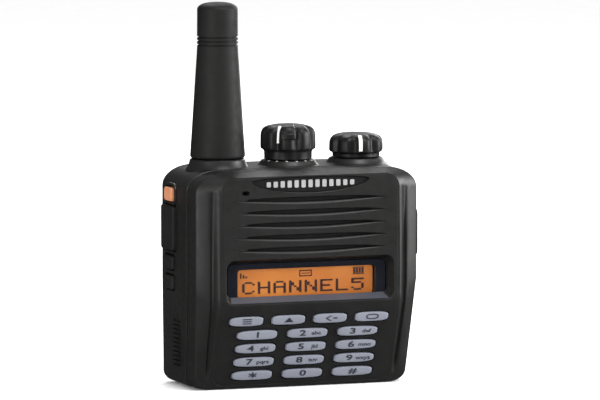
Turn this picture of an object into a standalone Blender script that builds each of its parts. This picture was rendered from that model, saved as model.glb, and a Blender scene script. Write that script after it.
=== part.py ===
"""Two way radio: a handheld transceiver with a keypad, a display, two top knobs and a stub antenna.

Sizes are in millimetres and are scaled to metres as each mesh is made. The radio stands on its base:
+X is its right, +Y is its back, +Z is up, and the origin is on the base, midway between the case's sides.
"""

import math

import bmesh
import bpy
from mathutils import Matrix, Vector

MM = 0.001

# The case
BODY_W = 80.0
BODY_H = 74.5
PANEL_Y = -21.8  # front of the raised panel
EDGE_Y = -17.8  # front of the case's sides, where the border slopes up to the panel
EDGE_HALF_W = 39.5
BACK_Y = 18.0
PART_Y = -10.0  # the front case ends here
SEAM = 1.2  # open seam between the two cases, with the gasket in it
WALL = 2.0
GAP = 0.3  # clearance between pieces that meet
SHOULDER = (11.0, 7.0)  # width and height of the case's upper corners
HEEL = (5.0, 4.0)
ARC_STEPS = 5
REAR_Y = PART_Y + SEAM
INNER_Y = PANEL_Y + WALL  # inside of the panel's wall

# How the front leans back towards its foot: below this height, by this much for each millimetre
PANEL_LEAN = (29.0, 0.375)
EDGE_LEAN = (36.0, 0.19)
SEAM_LEAN = (36.0, 0.11)
UPRIGHT = (0.0, 0.0)
EDGE_FOOT, SEAM_FOOT, BACK_FOOT = 1.8, 0.8, 0.4  # and how much narrower each side is at the foot

# The front panel
PANEL_SIDE = 7.6  # the sloping border beside the panel
PANEL_TOP = 1.6
PANEL_FOOT = 1.0
SLOT_COUNT = 5
SLOT_TOP_Z = 64.7
SLOT_PITCH = 4.22
SLOT_HALF_W = 27.3
SLOT_END_H, SLOT_RISE, SLOT_SAG = 0.9, 0.15, 1.75
SLOT_STEPS = 8
RECESS_W, RECESS_H, RECESS_Z = 60.0, 14.8, 37.3
RECESS_Y = -16.8
LENS_INSET = 1.5
VIEW_W, VIEW_H, VIEW_Z = 50.0, 9.8, 36.3
BADGE_W, BADGE_H, BADGE_Z = 41.6, 4.8, 69.8
MIC_X, MIC_Z = -23.3, 67.5
KEY_PROUD = 0.9
KEY_TRAVEL = 0.6
KEY_ROUND = 3.2  # exponent of the keys' rounded outline
KEY_POINTS = 16
TOP_KEY_W, KEY_W, KEY_H = 12.0, 14.4, 3.3
TOP_KEY_PITCH, KEY_PITCH = 15.05, 18.1
TOP_ROW_Z, ROW_Z, ROW_PITCH = 23.9, 18.95, 4.78
TOP_KEYS = ("key_menu", "key_a", "key_b", "key_back")
DIGIT_KEYS = (
    ("key_1", "key_2", "key_3"),
    ("key_4", "key_5", "key_6"),
    ("key_7", "key_8", "key_9"),
    ("key_star", "key_0", "key_hash"),
)

# The top controls and the antenna
ANTENNA_X, ANTENNA_Y = -24.7, 3.0
ANTENNA_BOSS_Z = 77.3
ANTENNA_BASE_R, ANTENNA_TIP_R = 9.35, 6.95
ANTENNA_TOP_Z = 130.5
KNOB_Y = 1.0
CHANNEL_X, VOLUME_X = 0.0, 24.7
KNOB_R = 9.45
KNOB_LOBES = 8
# share of the radius, share of the height and depth of the grooves, from the foot to the top
KNOB_PROFILE = (
    (0.87, 0.0, 0.2), (0.88, 0.22, 0.4), (0.99, 0.3, 1.1), (1.0, 0.55, 1.1),
    (0.95, 0.8, 1.0), (0.72, 0.94, 0.5), (0.35, 1.0, 0.0),
)
KNOB_STEPS = 48
KNOB_FOOT_Z = 76.9
KNOB_BOSS_Z = 76.4
CHANNEL_TOP_Z, VOLUME_TOP_Z = 88.5, 84.8
SHAFT_R = 2.0
BUSHING_R = 3.2
ROUND_STEPS = 24

# The left side: name, middle Y, middle Z, depth, height, how far it stands out, how far it travels
SIDE_BUTTONS = (
    ("emergency_button", 6.8, 65.3, 7.4, 4.6, 1.6, 0.8),
    ("ptt_button", 8.7, 53.7, 12.6, 15.2, 1.2, 0.8),
    ("side_key_upper", 8.7, 41.9, 9.6, 4.8, 0.9, 0.7),
    ("side_key_lower", 8.7, 35.1, 9.6, 4.8, 0.9, 0.7),
)

# The right side
JACK_Y, JACK_Z = -4.5, 51.5
JACK_W, JACK_H = 6.2, 12.0
JACK_PITCH = 6.4
COVER_FRONT_Y, COVER_BACK_Y = -14.6, 1.0
COVER_HALF_H = 8.0

# The back
BAY_HALF_W, BAY_LOW, BAY_HIGH, BAY_Y = 31.0, 4.0, 59.0, 5.3
CHEEK_IN, CHEEK_OUT, CHEEK_Y = 33.0, 37.8, 16.2
CASE_SCREW_X, CASE_SCREW_Z = 35.4, 7.0
CLIP_PIN_Y, CLIP_PIN_Z, CLIP_PIN_R = 24.0, 69.0, 1.0
CLIP_HALF_W = 8.9
CLIP_SCREW_X, CLIP_SCREW_Z = 6.0, 64.0
LATCH_Y, LATCH_Z = 15.5, 3.2
LATCH_HALF_W = 8.0


# ---------------------------------------------------------------- mesh helpers


def loft(rings, tube=False, mirrored=False):
    """A closed shape through rings of equally many points: capped at both ends, or joined end to end.
    Mirrored rings match left to right, so that a cap which bends at some height is made of flat strips."""
    bm = bmesh.new()
    rows = [[bm.verts.new(point) for point in ring] for ring in rings]
    pairs = list(zip(rows, rows[1:]))
    if tube:
        pairs.append((rows[-1], rows[0]))
    elif mirrored:
        for row in (rows[0], rows[-1]):
            for i in range(len(row) // 2 - 1):
                bm.faces.new((row[i], row[i + 1], row[-2 - i], row[-1 - i]))
    else:
        bm.faces.new(rows[0])
        bm.faces.new(rows[-1])
    for low, high in pairs:
        for i in range(len(low)):
            j = (i + 1) % len(low)
            bm.faces.new((low[i], low[j], high[j], high[i]))
    bmesh.ops.recalc_face_normals(bm, faces=bm.faces)
    return bm


def place(axis, u, v, w):
    """The point w along an axis, at (u, v) in the other two axes taken in X, Y, Z order."""
    return Vector({"x": (w, u, v), "y": (u, w, v), "z": (u, v, w)}[axis])


def prism(outline, axis, low, high):
    return loft([[place(axis, u, v, w) for u, v in outline] for w in (low, high)])


def box(x, y, z):
    outline = [(x[0], y[0]), (x[1], y[0]), (x[1], y[1]), (x[0], y[1])]
    return prism(outline, "z", z[0], z[1])


def circle(u, v, radius, steps=ROUND_STEPS):
    turns = [2 * math.pi * i / steps for i in range(steps)]
    return [(u + radius * math.cos(t), v + radius * math.sin(t)) for t in turns]


def turned(profile, u, v, axis="z", steps=ROUND_STEPS, tube=False):
    """A shape turned about an axis through (u, v), from (radius, distance along the axis) pairs."""
    rings = []
    for radius, along in profile:
        rings.append([place(axis, a, b, along) for a, b in circle(u, v, radius, steps)])
    return loft(rings, tube)


def rounded_rect(u, v, width, height, radius, steps=3):
    points = []
    for quarter, (su, sv) in enumerate(((1, -1), (1, 1), (-1, 1), (-1, -1))):
        for i in range(steps + 1):
            turn = math.pi / 2 * (quarter - 1 + i / steps)
            points.append(
                (
                    u + su * (width / 2 - radius) + radius * math.cos(turn),
                    v + sv * (height / 2 - radius) + radius * math.sin(turn),
                )
            )
    return points


def superellipse(u, v, width, height, exponent=KEY_ROUND, steps=KEY_POINTS):
    points = []
    for i in range(steps):
        turn = 2 * math.pi * (i + 0.5) / steps
        c, s = math.cos(turn), math.sin(turn)
        points.append(
            (
                u + width / 2 * math.copysign(abs(c) ** (2 / exponent), c),
                v + height / 2 * math.copysign(abs(s) ** (2 / exponent), s),
            )
        )
    return points


def combined(shapes):
    """Several separate shapes as one mesh."""
    joined = bmesh.new()
    for shape in shapes:
        mesh = bpy.data.meshes.new("shape")
        shape.to_mesh(mesh)
        joined.from_mesh(mesh)
        bpy.data.meshes.remove(mesh)
    return joined


# -------------------------------------------------------------- object helpers


def material(name, colour, roughness, metallic=0.0):
    made = bpy.data.materials.new(name)
    made.use_nodes = True
    shader = made.node_tree.nodes["Principled BSDF"]
    shader.inputs["Base Color"].default_value = (*colour, 1.0)
    shader.inputs["Roughness"].default_value = roughness
    shader.inputs["Metallic"].default_value = metallic
    return made


def solid(name, shape, look, origin=(0.0, 0.0, 0.0)):
    """An object from a shape in millimetres, with its own origin."""
    shape.transform(Matrix.Translation(-Vector(origin)))
    shape.transform(Matrix.Scale(MM, 4))
    mesh = bpy.data.meshes.new(name)
    shape.to_mesh(mesh)
    shape.free()
    mesh.shade_smooth()
    mesh.set_sharp_from_angle(angle=math.radians(35))
    made = bpy.data.objects.new(name, mesh)
    made.location = Vector(origin) * MM
    if look:
        mesh.materials.append(look)
    bpy.context.scene.collection.objects.link(made)
    return made


def boolean(target, operation, shapes):
    """Cuts separate shapes from target, or joins them to it."""
    cutter = solid(f"{target.name}_{operation.lower()}_{len(target.modifiers)}", combined(shapes), None)
    cutter.hide_render = True
    cutter.display_type = "WIRE"
    change = target.modifiers.new(operation.title(), "BOOLEAN")
    change.operation = operation
    change.solver = "EXACT"
    change.object = cutter
    return target


def cut(target, *shapes):
    return boolean(target, "DIFFERENCE", shapes)


def join(target, *shapes):
    return boolean(target, "UNION", shapes)


def wire(name, points, radius, look):
    """A round wire through points, as a curve with closed ends."""
    curve = bpy.data.curves.new(name, "CURVE")
    curve.dimensions = "3D"
    curve.bevel_depth = radius * MM
    curve.bevel_resolution = 1
    curve.use_fill_caps = True
    spline = curve.splines.new("POLY")
    spline.points.add(len(points) - 1)
    for spot, point in zip(spline.points, points):
        spot.co = (*(Vector(point) * MM), 1.0)
    made = bpy.data.objects.new(name, curve)
    curve.materials.append(look)
    bpy.context.scene.collection.objects.link(made)
    return made


# --------------------------------------------------------------------- the case


def leant(z, lean):
    """How far back a lean has moved the front at height z."""
    start, rate = lean
    return rate * max(0.0, start - z)


def leaned(shape):
    """Moves a shape's points back as the panel leans."""
    for vert in shape.verts:
        vert.co.y += leant(vert.co.z, PANEL_LEAN)
    return shape


def body_ring(y, lean, foot, half=BODY_W / 2, top=0.0, bottom=0.0, shoulder=SHOULDER, heel=HEEL):
    """The case's front-view outline at depth y: from the base's right end up, over and down to its left."""
    high = BODY_H - top
    right = []
    for (rx, rz), middle, first in ((heel, bottom + heel[1], -1), (shoulder, high - shoulder[1], 0)):
        for i in range(ARC_STEPS + 1):
            turn = math.pi / 2 * (first + i / ARC_STEPS)
            right.append((half - rx + rx * math.cos(turn), middle + rz * math.sin(turn)))
        if first:
            right += [(half, PANEL_LEAN[0]), (half, EDGE_LEAN[0])]
    ring = []
    for side, points in ((1, right), (-1, right[::-1])):
        for x, z in points:
            narrowed = x - foot * max(0.0, 1 - z / EDGE_LEAN[0])
            ring.append(Vector((side * narrowed, y + leant(z, lean), z)))
    return ring


def slot_outline(z):
    """A grille slot: nearly straight above, and sagging below."""
    spots = [2 * i / SLOT_STEPS - 1 for i in range(SLOT_STEPS + 1)]
    lower = [(SLOT_HALF_W * s, z - SLOT_SAG * (1 - s * s)) for s in spots]
    upper = [(SLOT_HALF_W * s, z + SLOT_END_H + SLOT_RISE * (1 - s * s)) for s in reversed(spots)]
    return lower + upper


def badge_outline(grow=0.0, steps=8):
    """The badge: a nearly straight top edge over a sagging lower edge."""
    half_w, half_h = BADGE_W / 2 + grow, BADGE_H / 2 + grow
    spots = [2 * i / steps - 1 for i in range(steps + 1)]
    lower = [(half_w * s, BADGE_Z + half_h * (0.55 - 1.55 * (1 - s * s) ** 0.6)) for s in spots]
    upper = [(half_w * s, BADGE_Z + half_h * (0.6 + 0.4 * (1 - s**4))) for s in reversed(spots)]
    return lower + upper


def lens_rect(grow=0.0):
    width, height = RECESS_W - 2 * LENS_INSET, RECESS_H - 2 * LENS_INSET
    return rounded_rect(0, RECESS_Z, width + 2 * grow, height + 2 * grow, 2.0 + grow)


def key_places():
    """(name, x, z, width) of each key."""
    places = []
    for i, name in enumerate(TOP_KEYS):
        places.append((name, (i - 1.5) * TOP_KEY_PITCH, TOP_ROW_Z, TOP_KEY_W))
    for row, names in enumerate(DIGIT_KEYS):
        for i, name in enumerate(names):
            places.append((name, (i - 1) * KEY_PITCH, ROW_Z - row * ROW_PITCH, KEY_W))
    return places


def front_case(look):
    panel_half = EDGE_HALF_W - PANEL_SIDE
    outer = loft(
        [
            body_ring(PART_Y, SEAM_LEAN, SEAM_FOOT),
            body_ring(EDGE_Y + 1, EDGE_LEAN, EDGE_FOOT),
            body_ring(EDGE_Y, EDGE_LEAN, EDGE_FOOT, EDGE_HALF_W, 0.3, 0.3),
            body_ring(PANEL_Y + 0.3, PANEL_LEAN, 0, panel_half + 0.5, 1.2, 0.8, (6.0, 5.0), (4.0, 3.0)),
            body_ring(PANEL_Y, PANEL_LEAN, 0, panel_half, PANEL_TOP, PANEL_FOOT, (5.5, 4.6), (4.0, 3.0)),
        ],
        mirrored=True,
    )
    made = solid("front_case", outer, look)
    inside = loft(
        [
            body_ring(PART_Y + 1, SEAM_LEAN, SEAM_FOOT, 38, WALL, WALL, (9.0, 5.0), (3.0, 2.0)),
            body_ring(EDGE_Y + 1.8, EDGE_LEAN, EDGE_FOOT, 37.6, WALL, WALL, (9.0, 5.0), (3.0, 2.0)),
            body_ring(INNER_Y, PANEL_LEAN, 0, panel_half - 1, 3.2, 2.2, (5.0, 4.0), (3.0, 2.0)),
        ],
        mirrored=True,
    )
    cut(made, inside)
    bosses = []
    for s in (-1, 1):
        bosses.append(turned([(2.6, -11.0), (2.6, -6.9)], s * CASE_SCREW_X, CASE_SCREW_Z, "y", 16))
    tub = box((-31.5, 31.5), (-20.5, RECESS_Y + 1.2), (28.6, 45.6))
    join(made, tub, *bosses)
    through = [prism(slot_outline(SLOT_TOP_Z - i * SLOT_PITCH), "y", -24, -19) for i in range(SLOT_COUNT)]
    through.append(prism(rounded_rect(0, VIEW_Z, VIEW_W, VIEW_H, 1.0), "y", -24, -15))
    through.append(prism(rounded_rect(MIC_X, MIC_Z, 2.6, 1.3, 0.6), "y", -24, -19))
    for _, x, z, width in key_places():
        through.append(leaned(prism(superellipse(x, z, width + 2 * GAP, KEY_H + 2 * GAP), "y", -24, -19)))
    for s in (-1, 1):
        through.append(prism(circle(s * CASE_SCREW_X, CASE_SCREW_Z, 1.5, 12), "y", -10, -6))
    cut(made, *through)
    mouth = rounded_rect(0, RECESS_Z, RECESS_W + 0.5, RECESS_H + 0.5, 2.9)
    recess = loft(
        [
            [place("y", u, v, PANEL_Y - 1) for u, v in mouth],
            [place("y", u, v, RECESS_Y - 0.8) for u, v in lens_rect(GAP)],
            [place("y", u, v, RECESS_Y) for u, v in lens_rect(GAP)],
        ]
    )
    badge_seat = prism(badge_outline(GAP), "y", -24, PANEL_Y + 1)
    return cut(made, recess, badge_seat)


def rear_case(look):
    outer = loft(
        [
            body_ring(REAR_Y, SEAM_LEAN, SEAM_FOOT),
            body_ring(16.2, UPRIGHT, BACK_FOOT),
            body_ring(17.5, UPRIGHT, BACK_FOOT, 39.5, 0.5, 0.5),
            body_ring(BACK_Y, UPRIGHT, BACK_FOOT, 38.2, 1.8, 1.8),
        ],
        mirrored=True,
    )
    made = solid("rear_case", outer, look)
    bosses = [turned([(9.4, 71), (9.4, 76.6), (8.8, ANTENNA_BOSS_Z)], ANTENNA_X, ANTENNA_Y)]
    for x in (CHANNEL_X, VOLUME_X):
        bosses.append(turned([(8.2, 73), (8.2, 75.8), (7.6, KNOB_BOSS_Z)], x, KNOB_Y))
    join(made, *bosses)
    inside = loft(
        [
            body_ring(REAR_Y - 1, SEAM_LEAN, SEAM_FOOT, 38, WALL, WALL, (9.0, 5.0), (3.0, 2.0)),
            body_ring(BAY_Y - WALL, UPRIGHT, BACK_FOOT, 38, WALL, WALL, (9.0, 5.0), (3.0, 2.0)),
        ],
        mirrored=True,
    )
    cut(made, inside)
    arch = [
        (-CHEEK_OUT, 30), (-CHEEK_IN, 30), (-CHEEK_IN, 61), (CHEEK_IN, 61), (CHEEK_IN, 30),
        (CHEEK_OUT, 30), (CHEEK_OUT, 69), (34, 72), (-34, 72), (-CHEEK_OUT, 69),
    ]
    cut(made, prism(arch, "y", 2.0, CHEEK_Y))
    bay_middle = (BAY_LOW + BAY_HIGH) / 2
    bay = prism(rounded_rect(0, bay_middle, 2 * BAY_HALF_W, BAY_HIGH - BAY_LOW, 2.0), "y", BAY_Y, 19)
    cut(made, bay)
    holes = [turned([(4.3, 70), (4.3, 79)], ANTENNA_X, ANTENNA_Y)]
    holes += [turned([(3.5, 70), (3.5, 78)], x, KNOB_Y) for x in (CHANNEL_X, VOLUME_X)]
    for _, y, z, depth, height, _, _ in SIDE_BUTTONS:
        holes.append(prism(rounded_rect(y, z, depth + 2 * GAP, height + 2 * GAP, 1.3), "x", -42, -36.5))
    holes.append(prism(rounded_rect(JACK_Y, JACK_Z, JACK_W, JACK_H, 1.0), "x", 36.5, 42))
    for s in (-1, 1):
        screw_hole = [(1.5, -12), (1.5, 16.2), (2.6, 16.2), (2.6, 20)]
        holes.append(turned(screw_hole, s * CASE_SCREW_X, CASE_SCREW_Z, "y", 16))
        holes.append(turned([(1.3, 14), (1.3, 20)], s * CLIP_SCREW_X, CLIP_SCREW_Z, "y", 12))
    latch_seat = box((-LATCH_HALF_W - 0.4, LATCH_HALF_W + 0.4), (13.4, 19), (1.0, 5))
    latch_bore = turned([(1.3, -9.8), (1.3, 9.8)], LATCH_Y, LATCH_Z, "x", 16)
    cut(made, *holes)
    cut(made, latch_seat)
    return cut(made, latch_bore)


def case_gasket(look):
    rings = []
    for inset in (0.8, 1.9):
        shoulder = (SHOULDER[0] - inset, SHOULDER[1] - inset)
        heel = (HEEL[0] - inset, HEEL[1] - inset)
        for y in (PART_Y + GAP, REAR_Y - GAP):
            half = BODY_W / 2 - inset
            rings.append(body_ring(y, SEAM_LEAN, SEAM_FOOT, half, inset, inset, shoulder, heel))
    return solid("case_gasket", loft([rings[0], rings[1], rings[3], rings[2]], tube=True), look)


def display_window(look):
    return solid("display_window", prism(lens_rect(), "y", RECESS_Y - 1.0, RECESS_Y - GAP), look)


def badge_plate(look):
    return solid("badge_plate", prism(badge_outline(), "y", PANEL_Y + 0.1, PANEL_Y + 0.7), look)


def case_screws(look):
    for side, s in (("left", -1), ("right", 1)):
        profile = [(1.2, -9.5), (1.2, 16.5), (2.3, 16.5), (2.3, 17.5), (1.8, 17.9)]
        screw = solid(f"case_screw_{side}", turned(profile, s * CASE_SCREW_X, CASE_SCREW_Z, "y", 16), look)
        slot = box((s * CASE_SCREW_X - 1.5, s * CASE_SCREW_X + 1.5), (17.3, 18.5), (6.75, 7.25))
        cut(screw, slot)


# ------------------------------------------------------------------- front parts


def keys(look, dark_look):
    for name, x, z, width in key_places():
        rings = []
        for grow_w, grow_h, y in (
            (-0.7, -0.7, PANEL_Y - KEY_PROUD),
            (0.0, 0.0, PANEL_Y - KEY_PROUD + 0.4),
            (0.0, 0.0, INNER_Y + GAP),
            (1.0, 0.9, INNER_Y + GAP),
            (1.0, 0.9, INNER_Y + GAP + 0.8),
        ):
            ring = superellipse(x, z, width + grow_w, KEY_H + grow_h)
            rings.append([place("y", u, v, y) for u, v in ring])
        solid(name, leaned(loft(rings)), look, (x, PANEL_Y + leant(z, PANEL_LEAN), z))
    mat_y = INNER_Y + GAP + 0.8 + KEY_TRAVEL + 0.2
    solid("keypad_membrane", leaned(box((-30, 30), (mat_y, mat_y + 0.8), (2.8, 27.2))), dark_look)


def display_parts(glass, white):
    solid("lcd_panel", box((-26, 26), (-15.3, -14.0), (30.6, 42.0)), glass)
    backlight = solid("lcd_backlight", box((-27.5, 27.5), (-15.0, -12.9), (29.4, 43.2)), white)
    cut(backlight, box((-26.3, 26.3), (-17, -13.7), (30.3, 42.3)))


def racetrack(half_w, half_h, z, steps=6):
    return rounded_rect(0, z, 2 * half_w, 2 * half_h, half_h - 0.01, steps)


def speaker(metal, paper, magnet):
    z = 58.5
    front = INNER_Y + GAP
    frame = solid("speaker_frame", prism(racetrack(20, 12, z), "y", front, front + 4.1), metal)
    cut(frame, prism(racetrack(18.2, 10.2, z), "y", front - 1, front + 3.1))
    cut(frame, prism(circle(0, z, 5.0), "y", front + 2, front + 5))
    cone_rings = []
    for half_w, half_h, depth in (
        (17.8, 9.8, 0.4), (17.8, 9.8, 0.8), (15.6, 7.6, 1.1), (6.2, 4.2, 2.5),
        (6.0, 4.0, 2.0), (15.8, 7.8, 0.6), (16.8, 8.8, 0.1),
    ):
        cone_rings.append([place("y", u, v, front + depth) for u, v in racetrack(half_w, half_h, z)])
    solid("speaker_cone", loft(cone_rings, tube=True), paper)
    stepped = [(4.6, front + 2.7), (4.6, front + 4.4), (9.5, front + 4.4), (9.5, front + 7.5)]
    solid("speaker_magnet", turned(stepped, 0, z, "y"), magnet)
    capsule = turned([(3.0, front), (3.0, front + 2.5)], MIC_X, MIC_Z, "y", 16)
    solid("microphone", capsule, magnet)


def boards(board, metal):
    keypad_y = INNER_Y + 2.9 + KEY_TRAVEL
    keypad = leaned(box((-32, 32), (keypad_y, keypad_y + 1.2), (2.8, 28.2)))
    solid("keypad_board", keypad, board)
    notch = box((30.0, 40), (-10, 5), (44, 60))
    main = solid("main_board", box((-35, 35), (-3.1, -1.8), (11, 58)), board)
    join(main, box((-12, 12), (-5.6, -2.4), (45, 50)))
    cut(main, notch)
    can = solid("shield_can", box((-30, 26), (-5.5, -3.4), (16, 42)), metal)
    cut(can, box((-29.4, 25.4), (-4.9, -2), (16.6, 41.4)))
    chassis = solid("chassis", box((-35.6, 35.6), (-1.5, 3.0), (11, 58)), metal)
    cut(chassis, box((-33.8, 33.8), (-3, 1.4), (13, 56)))
    cut(chassis, notch)
    ribs = [box((x - 0.8, x + 0.8), (-1.5, 1.7), (12, 43)) for x in (-17, 0, 17)]
    join(chassis, *ribs)


# --------------------------------------------------------------- antenna and knobs


def antenna(rubber, copper, brass):
    grooves = []
    for z in (116.1, 117.4, 118.7):
        grooves += [
            (ANTENNA_TIP_R, z - 0.25), (ANTENNA_TIP_R - 0.4, z - 0.15),
            (ANTENNA_TIP_R - 0.4, z + 0.15), (ANTENNA_TIP_R, z + 0.25),
        ]
    dome_foot, dome_top = 128.1, ANTENNA_TOP_Z
    dome = []
    for i in range(1, 6):
        turn = math.pi / 2 * i / 6
        dome.append((ANTENNA_TIP_R * math.cos(turn), dome_foot + (dome_top - dome_foot) * math.sin(turn)))
    profile = [(4.9, 113), (5.9, 84), (5.9, 77.6), (ANTENNA_BASE_R - 0.4, 77.6), (ANTENNA_BASE_R, 78.2)]
    profile += grooves + [(ANTENNA_TIP_R, dome_foot)] + dome + [(0.8, dome_top)]
    solid("antenna_sheath", turned(profile, ANTENNA_X, ANTENNA_Y), rubber)
    plug = [(2.0, 70.8), (2.0, 77.9), (5.6, 77.9), (5.6, 83.0), (1.6, 83.4), (1.6, 111.5)]
    solid("antenna_plug", turned(plug, ANTENNA_X, ANTENNA_Y, steps=16), brass)
    turns, steps, low, high = 6, 10, 85.0, 110.0
    helix = []
    for i in range(turns * steps + 1):
        turn = 2 * math.pi * i / steps
        z = low + (high - low) * i / (turns * steps)
        helix.append((ANTENNA_X + 3.4 * math.cos(turn), ANTENNA_Y + 3.4 * math.sin(turn), z))
    wire("antenna_coil", helix, 0.6, copper)
    socket = [(2.4, 70.2), (2.4, 77.2), (4.0, 77.2), (4.0, 71.2), (5.8, 71.2), (5.8, 68.8)]
    solid("antenna_socket", turned(socket, ANTENNA_X, ANTENNA_Y), brass)


def knob_ring(x, radius, z, flute):
    """A ring of the knob, drawn in by flute at the grooves between its lobes."""
    ring = []
    for i in range(KNOB_STEPS):
        turn = 2 * math.pi * (i + 0.5) / KNOB_STEPS
        groove = max(0.0, math.cos(KNOB_LOBES * turn)) ** 2
        reach = radius - flute * groove
        ring.append(Vector((x + reach * math.cos(turn), KNOB_Y + reach * math.sin(turn), z)))
    return ring


def control(name, part_name, x, top_z, looks):
    """A knob on its shaft, and the rotary part under it."""
    knob_look, metal, body_look = looks
    rise = top_z - KNOB_FOOT_Z
    bore_top = top_z - 2.4
    rings = [
        knob_ring(x, SHAFT_R + GAP, bore_top, 0),
        knob_ring(x, SHAFT_R + GAP, KNOB_FOOT_Z + 2.4, 0),
        knob_ring(x, 5.4, KNOB_FOOT_Z + 2.4, 0),
        knob_ring(x, 5.4, KNOB_FOOT_Z, 0),
    ]
    for share, height, flute in KNOB_PROFILE:
        rings.append(knob_ring(x, KNOB_R * share, KNOB_FOOT_Z + rise * height, flute))
    solid(f"{name}_knob", loft(rings), knob_look, (x, KNOB_Y, KNOB_FOOT_Z))
    shaft = turned([(SHAFT_R, 66.0), (SHAFT_R, bore_top - GAP)], x, KNOB_Y, steps=16)
    solid(f"{name}_shaft", shaft, metal, (x, KNOB_Y, KNOB_FOOT_Z))
    rotary = solid(part_name, box((x - 6.3, x + 6.3), (KNOB_Y - 6, KNOB_Y + 6), (62.5, 71.2)), body_look)
    join(rotary, turned([(BUSHING_R, 70.5), (BUSHING_R, 78.2)], x, KNOB_Y, steps=16))
    cut(rotary, turned([(SHAFT_R + GAP, 65.7), (SHAFT_R + GAP, 79)], x, KNOB_Y, steps=16))


# ------------------------------------------------------------------- side parts


def side_buttons(looks, board):
    inside = -(CHEEK_OUT - GAP)
    for (name, y, z, depth, height, proud, _), look in zip(SIDE_BUTTONS, looks):
        rings = []
        for grow, x in (
            (-0.9, -40 - proud), (0.0, -40 - proud + 0.5), (0.0, inside), (1.2, inside), (1.2, inside + 0.6),
        ):
            outline = rounded_rect(y, z, depth + grow, height + grow, 1.2)
            rings.append([place("x", u, v, x) for u, v in outline])
        solid(name, loft(rings), look, (-40, y, z))
    switches = solid("side_switch_board", box((-35.4, -34.4), (3.6, 15.6), (31.5, 69)), board)
    domes = [turned([(1.6, -35.9), (1.6, -35.0)], y, z, "x", 12) for _, y, z, *_ in SIDE_BUTTONS]
    join(switches, *domes)


def jack(rubber, black):
    cover_x = BODY_W / 2 + GAP
    middle, depth = (COVER_FRONT_Y + COVER_BACK_Y) / 2, COVER_BACK_Y - COVER_FRONT_Y
    rings = []
    for inset, x in ((0.0, cover_x), (0.0, cover_x + 0.8), (0.5, cover_x + 1.3)):
        outline = rounded_rect(middle, JACK_Z, depth - 2 * inset, 2 * (COVER_HALF_H - inset), 1.2 - inset / 2)
        rings.append([place("x", u, v, x) for u, v in outline])
    cover = solid("jack_cover", loft(rings), rubber, (cover_x, COVER_FRONT_Y, JACK_Z))
    plug = rounded_rect(JACK_Y, JACK_Z, JACK_W - 0.8, JACK_H - 1.0, 0.8)
    join(cover, prism(plug, "x", 38.4, cover_x + 0.2))
    block = solid("jack_block", box((30.5, 37.6), (-8.2, -0.8), (44.3, 58.7)), black)
    holes = []
    for s, radius in ((-1, 1.3), (1, 1.8)):
        holes.append(turned([(radius, 32), (radius, 40)], JACK_Y, JACK_Z + s * JACK_PITCH / 2, "x", 16))
    cut(block, *holes)


# ------------------------------------------------------------------- back parts


def battery(plastic, wrap, latch_look):
    low, high = BAY_LOW + 0.4, BAY_HIGH - 0.4
    half_w = BAY_HALF_W - 0.4
    rings = []
    for inset, y in ((0.0, BAY_Y + 0.6), (0.0, 17.2), (0.6, 17.8)):
        outline = rounded_rect(0, (low + high) / 2, 2 * (half_w - inset), high - low - 2 * inset, 1.8)
        rings.append([place("y", u, v, y) for u, v in outline])
    made = solid("battery_case", loft(rings), plastic)
    cut(made, box((-28.8, 28.8), (5, 15.6), (11, 57)))
    cut(made, box((-LATCH_HALF_W - 0.5, LATCH_HALF_W + 0.5), (13.3, 19), (3, 10.4)))
    cells = solid("battery_cells", box((-28.4, 28.4), (6.2, 15.2), (11.4, 56.6)), wrap)
    cut(cells, box((-0.4, 0.4), (8, 16), (10, 58)))
    outline = [
        (LATCH_Y - 1.1, LATCH_Z), (LATCH_Y - 0.6, LATCH_Z - 1.3), (LATCH_Y + 1.2, LATCH_Z - 1.5),
        (17.8, LATCH_Z - 0.6), (17.8, 8.6), (17.2, 9.8), (16.2, 9.8), (16.0, 5.2), (LATCH_Y - 0.6, 4.5),
    ]
    blade = prism(outline, "x", -LATCH_HALF_W, LATCH_HALF_W)
    latch = solid("battery_latch", blade, latch_look, (0, LATCH_Y, LATCH_Z))
    join(latch, turned([(0.9, -9.3), (0.9, 9.3)], LATCH_Y, LATCH_Z, "x", 16))


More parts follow.
